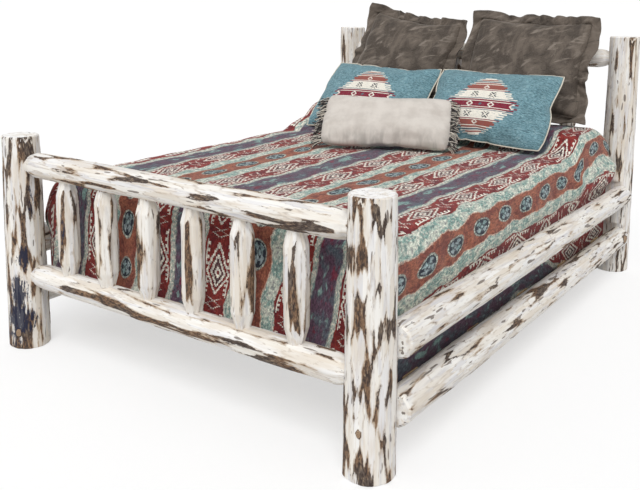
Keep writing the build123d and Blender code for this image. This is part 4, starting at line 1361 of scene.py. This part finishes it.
def make_fringe(hand, end, seed, plane):
    """Yarn strands hanging from one end seam of the lumbar pillow."""
    rng = np.random.default_rng(seed)
    mesh = bmesh.new()
    tone = mesh.verts.layers.float.new("tone")
    for i in range(FRINGE_STRANDS):
        along = (i + rng.uniform(-0.4, 0.4)) / (FRINGE_STRANDS - 1) * 2 - 1
        along = max(-1, min(1, along)) * (LUMBAR[1] / 2 - 0.006)
        start = Vector((end * (LUMBAR[0] / 2 - 0.012), along, rng.uniform(-0.006, 0.006)))
        length = FRINGE_LENGTH * rng.uniform(0.85, 1.08)
        lean = Vector((end, rng.normal(0, 0.25) - 0.15, rng.normal(0, 0.28))).normalized()
        droop = Vector((-0.15 * end, -0.45, -0.12)) * rng.uniform(0.4, 1.5)
        shade = 1.0 if rng.random() < 0.36 else 0.0
        radius = YARN_RADIUS * rng.uniform(0.8, 1.2)
        ring = bmesh.ops.create_circle(mesh, cap_ends=False, segments=5, radius=radius)["verts"]
        turn = lean.to_track_quat("Z", "Y").to_matrix().to_4x4()
        bmesh.ops.transform(mesh, matrix=Matrix.Translation(start) @ turn, verts=ring)
        edges = list({edge for corner in ring for edge in corner.link_edges})
        strand = list(ring)
        for share in (0.25, 0.5, 0.75, 1.0):
            made = bmesh.ops.extrude_edge_only(mesh, edges=edges)["geom"]
            ring = [item for item in made if isinstance(item, bmesh.types.BMVert)]
            edges = [item for item in made if isinstance(item, bmesh.types.BMEdge)]
            move = (lean + droop * share * 1.6).normalized() * length / 4
            move += Vector(rng.normal(0, 0.0008, 3))
            bmesh.ops.translate(mesh, vec=move, verts=ring)
            strand += ring
        bmesh.ops.contextual_create(mesh, geom=edges)
        for corner in strand:
            corner[tone] = shade
    bmesh.ops.recalc_face_normals(mesh, faces=mesh.faces)
    piece = piece_from(mesh, f"yarn_fringe_{hand}")
    piece.data.transform(plane)
    settle(piece, yarn_finish, "lumbar", [f"lumbar_fringe_{hand}"])


def make_lumbar():
    plane = pillow_matrix(LUMBAR, LUMBAR_PLACE)
    pillow = make_pillow("suede_lumbar_pillow", LUMBAR, plane, 85, sag=0.2, draw_in=0.35,
                         fullness=0.62, folds=0.0045, pulls=LUMBAR_PULLS, blunt=0.55)
    rounded(pillow)
    settle(pillow, suede_finish, "lumbar", ["lumbar_pillow"])
    make_fringe("left", -1, 91, plane)
    make_fringe("right", 1, 92, plane)


def make_sleeping(hand, across):
    """A sleeping pillow, pressed flat below and full above, where it lifts the coverlet."""
    x, y, level = SLEEPING_PLACE
    plane = Matrix.Translation((across * x, y, level))
    pillow = make_pillow(f"cotton_pillow_{hand}", SLEEPING, plane, 95 + across,
                         pressure=3.0, columns=50)
    points = corners_of(pillow)
    rise = points[:, 2] - level
    points[:, 2] = level + np.where(rise < 0, rise * 0.35, rise * 1.55)
    set_corners(pillow, points)
    rounded(pillow)
    settle(pillow, cotton_finish, "root", [f"sleeping_pillow_{hand}"])


make_sham("left", 81)
make_sham("right", 82)
make_accent("left", 83)
make_accent("right", 84)
make_lumbar()
make_sleeping("left", -1)
make_sleeping("right", 1)


# ---- mattress and foundation ----


def rounded_block(low, high, corner, edge, name):
    """A block with round corners seen from above and softer edges at its top and bottom."""
    mesh = bmesh.new()
    bmesh.ops.create_cube(mesh, size=1)
    size, middle = Vector(high) - Vector(low), (Vector(high) + Vector(low)) / 2
    bmesh.ops.scale(mesh, verts=mesh.verts, vec=size)
    soft = {"profile": 0.5, "affect": "EDGES", "material": -1}

    def height_of(line):
        return abs(line.verts[0].co.z - line.verts[1].co.z)

    def at_rim(line):
        sides = [face.normal.z for face in line.link_faces]
        return height_of(line) < 1e-6 and len(sides) == 2 and abs(sides[0] - sides[1]) > 0.5

    upright = [line for line in mesh.edges if height_of(line) > 0.5 * size.z]
    bmesh.ops.bevel(mesh, geom=upright, offset=corner, segments=6, **soft)
    rims = [line for line in mesh.edges if at_rim(line)]
    bmesh.ops.bevel(mesh, geom=rims, offset=edge, segments=5, **soft)
    bmesh.ops.translate(mesh, vec=middle, verts=mesh.verts)
    bmesh.ops.recalc_face_normals(mesh, faces=mesh.faces)
    return piece_from(mesh, name, 35)


def tape_round(name, low, high, corner, height):
    """A taped edge round a mattress at one height."""
    x, y = ((high[axis] - low[axis]) / 2 - 0.0005 - corner for axis in (0, 1))
    points = []
    for across, along, start in ((1, 1, 0), (-1, 1, 90), (-1, -1, 180), (1, -1, 270)):
        for i in range(9):
            angle = math.radians(start + i * 90 / 8)
            turn_x, turn_y = corner * math.cos(angle), corner * math.sin(angle)
            points.append((across * x + turn_x, along * y + turn_y, height))
    tape = cord_round(name, points, PIPING_RADIUS)
    settle(tape, piping_finish, "root")


def quilted(name, color, shade, pitch, depth):
    """Quilted ticking: soft diamonds between stitch lines."""
    f = Finish(name)
    where = f.place()
    x, y, z = f.parts(where)
    turn = math.pi / pitch
    stitches = f.sine((x + y + z) * turn) * f.sine((x + y - z) * turn)
    pad = f.math("POWER", abs(stitches), 0.5)
    fine = f.noise(where, 420)
    tone = f.layer(shade, (pad, 0.05, 0.3, 1, color), (fine, 0.35, 0.75, 0.4, shade))
    normal = f.bump(pad, 0.7, depth, f.bump(fine, 0.3, 0.0006))
    return f.shade(tone, 0.85, normal, Specular_IOR_Level=0.25, Sheen_Weight=0.1,
                   Sheen_Roughness=0.5)


MATTRESS_CORNER, MATTRESS_EDGE = 0.06, 0.05
FOUNDATION_CORNER, FOUNDATION_EDGE = 0.022, 0.01
mattress_finish = quilted(
    "mattress_cloth", (0.74, 0.73, 0.70), (0.60, 0.59, 0.57), 0.11, 0.006
)
box_finish = quilted(
    "foundation_cloth", (0.60, 0.585, 0.555), (0.50, 0.485, 0.46), 0.05, 0.0015
)
mattress = rounded_block(*MATTRESS, MATTRESS_CORNER, MATTRESS_EDGE, "mattress_cover")
settle(mattress, mattress_finish, "root", ["mattress"])
for name, height in MATTRESS_TAPES.items():
    tape_round(f"mattress_tape_{name}", *MATTRESS, MATTRESS_CORNER, height)
box = rounded_block(*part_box("foundation_cover"), FOUNDATION_CORNER, FOUNDATION_EDGE,
                    "foundation_box_cover")
settle(box, box_finish, "root", ["foundation_cover"])


# ---- boards, legs and hardware ----


def sawn_board(name, axis):
    """Planed softwood with grain along one axis."""
    f = Finish(name)
    along = [1, 1, 1]
    along[axis] = 0.05
    where = f.drawn(f.place(), along)
    grain = f.noise(where, 90, 3.0, 0.6, 0.4)
    fine = f.noise(where, 480)
    wood = f.layer(PINE, (grain, 0.4, 0.7, 1, PINE_DARK), (fine, 0.4, 0.8, 0.3, PINE_DARK))
    return f.shade(wood, 0.6, f.bump(fine, 0.4, 0.0006), Specular_IOR_Level=0.35)


def plated(name, color, dark):
    """Steel under a thin plating with dull patches."""
    f = Finish(name)
    patch = f.noise(f.place(), 400, 3.0, 0.6)
    tone = f.layer(color, (patch, 0.4, 0.7, 1, dark))
    roughness = f.step(patch, 0.3, 0.7, 0.32, 0.5)
    return f.shade(tone, roughness, f.bump(patch, 0.2, 0.0003), Metallic=0.9)


def give(material, *names):
    for name in names:
        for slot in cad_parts[name].material_slots:
            slot.material = material


PINE, PINE_DARK = (0.62, 0.46, 0.28), (0.48, 0.33, 0.18)
ZINC, ZINC_DARK = (0.62, 0.63, 0.65), (0.45, 0.46, 0.48)
YELLOW_ZINC, YELLOW_ZINC_DARK = (0.66, 0.52, 0.24), (0.5, 0.38, 0.16)
give(sawn_board("sawn_pine_lengthwise", 1),
     "support_ledger_left", "support_ledger_right", "foundation_side_boards")
give(sawn_board("sawn_pine_crosswise", 0),
     *(f"mattress_slat_{i}" for i in range(1, 6)), "foundation_end_boards",
     "foundation_top_slats")
give(sawn_board("sawn_pine_upright", 2), *(f"centre_leg_{i}" for i in range(1, 4)))
give(plated("zinc_steel", ZINC, ZINC_DARK), "rail_bolts", "rail_washers", "rail_nuts")
give(plated("yellow_zinc", YELLOW_ZINC, YELLOW_ZINC_DARK),
     "ledger_screws", "slat_screws", "leg_screws")


# ---- floor, light and camera ----

WHITE, FLOOR_GREY = (1, 1, 1), (0.8, 0.8, 0.8)
FLOOR_GLOW = 0.58  # share of the seen floor that glows white; the rest shows the shadow
AMBIENT = 0.55
# name, strength, spread in degrees and where the light comes from
SUNS = (("key", 1.75, 30, (0.35, -0.55, 0.8)), ("fill", 0.5, 60, (-0.75, -0.6, 0.35)))
PICTURE_WIDTH, PICTURE_HEIGHT = 640, 490  # pixels
FOCAL_PIXELS = 850.4
AXIS_ROW = 130  # pixel row that the lens points at
CAMERA_PLACE = (1.9622, -3.0477, 1.3599)
CAMERA_TURN = (35.416, 9.311, 0.303)  # to the left, down and round its axis, in degrees


def seen_directly(f):
    """1 where a camera, mirror or glass ray meets the surface."""
    rays = f.node("ShaderNodeLightPath").outputs
    return f.most(*(Value(f, rays[f"Is {kind} Ray"]) for kind in
                    ("Camera", "Glossy", "Transmission")))


def lay_floor():
    mesh = bmesh.new()
    bmesh.ops.create_grid(mesh, x_segments=1, y_segments=1, size=400)
    floor = piece_from(mesh, "studio_floor")
    f = Finish("studio_floor")
    plain = f.value("ShaderNodeBsdfDiffuse", {"Color": FLOOR_GREY})
    white = f.value("ShaderNodeBsdfDiffuse", {"Color": WHITE})
    glow = f.value("ShaderNodeEmission", {"Color": WHITE, "Strength": 1.0})
    pale = f.value("ShaderNodeMixShader", {0: FLOOR_GLOW, 1: white, 2: glow})
    ground = f.value("ShaderNodeMixShader", {0: seen_directly(f), 1: plain, 2: pale})
    f.node("ShaderNodeOutputMaterial", {"Surface": ground})
    floor.data.materials.append(f.owner)


def light_studio():
    world = bpy.data.worlds.new("studio")
    bpy.context.scene.world = world
    sky = Finish("studio", world)
    ambient = sky.value("ShaderNodeBackground", {"Color": WHITE, "Strength": AMBIENT})
    backdrop = sky.value("ShaderNodeBackground", {"Color": WHITE, "Strength": 1.0})
    both = sky.value("ShaderNodeMixShader", {0: seen_directly(sky), 1: ambient, 2: backdrop})
    sky.node("ShaderNodeOutputWorld", {"Surface": both})
    for name, strength, spread, direction in SUNS:
        lamp = bpy.data.lights.new(name, "SUN")
        lamp.energy = strength
        lamp.angle = math.radians(spread)
        light = show(name, lamp)
        light.rotation_euler = Vector(direction).to_track_quat("Z", "Y").to_euler()


def set_camera():
    lens = bpy.data.cameras.new("camera")
    lens.sensor_width = 36
    lens.lens = FOCAL_PIXELS * lens.sensor_width / PICTURE_WIDTH
    lens.shift_y = (AXIS_ROW - PICTURE_HEIGHT / 2) / PICTURE_WIDTH
    lens.clip_end = 100
    left, down, roll = (math.radians(angle) for angle in CAMERA_TURN)
    level = math.cos(down)
    forward = Vector((-math.sin(left) * level, math.cos(left) * level, -math.sin(down)))
    right = Vector((math.cos(left), math.sin(left), 0))
    up = right.cross(forward)
    rolled_right = right * math.cos(roll) + up * math.sin(roll)
    rolled_up = up * math.cos(roll) - right * math.sin(roll)
    turn = Matrix((rolled_right, rolled_up, -forward)).transposed().to_4x4()
    view = show("camera", lens)
    view.matrix_world = Matrix.Translation(CAMERA_PLACE) @ turn
    bpy.context.scene.camera = view


lay_floor()
light_studio()
set_camera()
bpy.context.scene.view_settings.view_transform = "Standard"
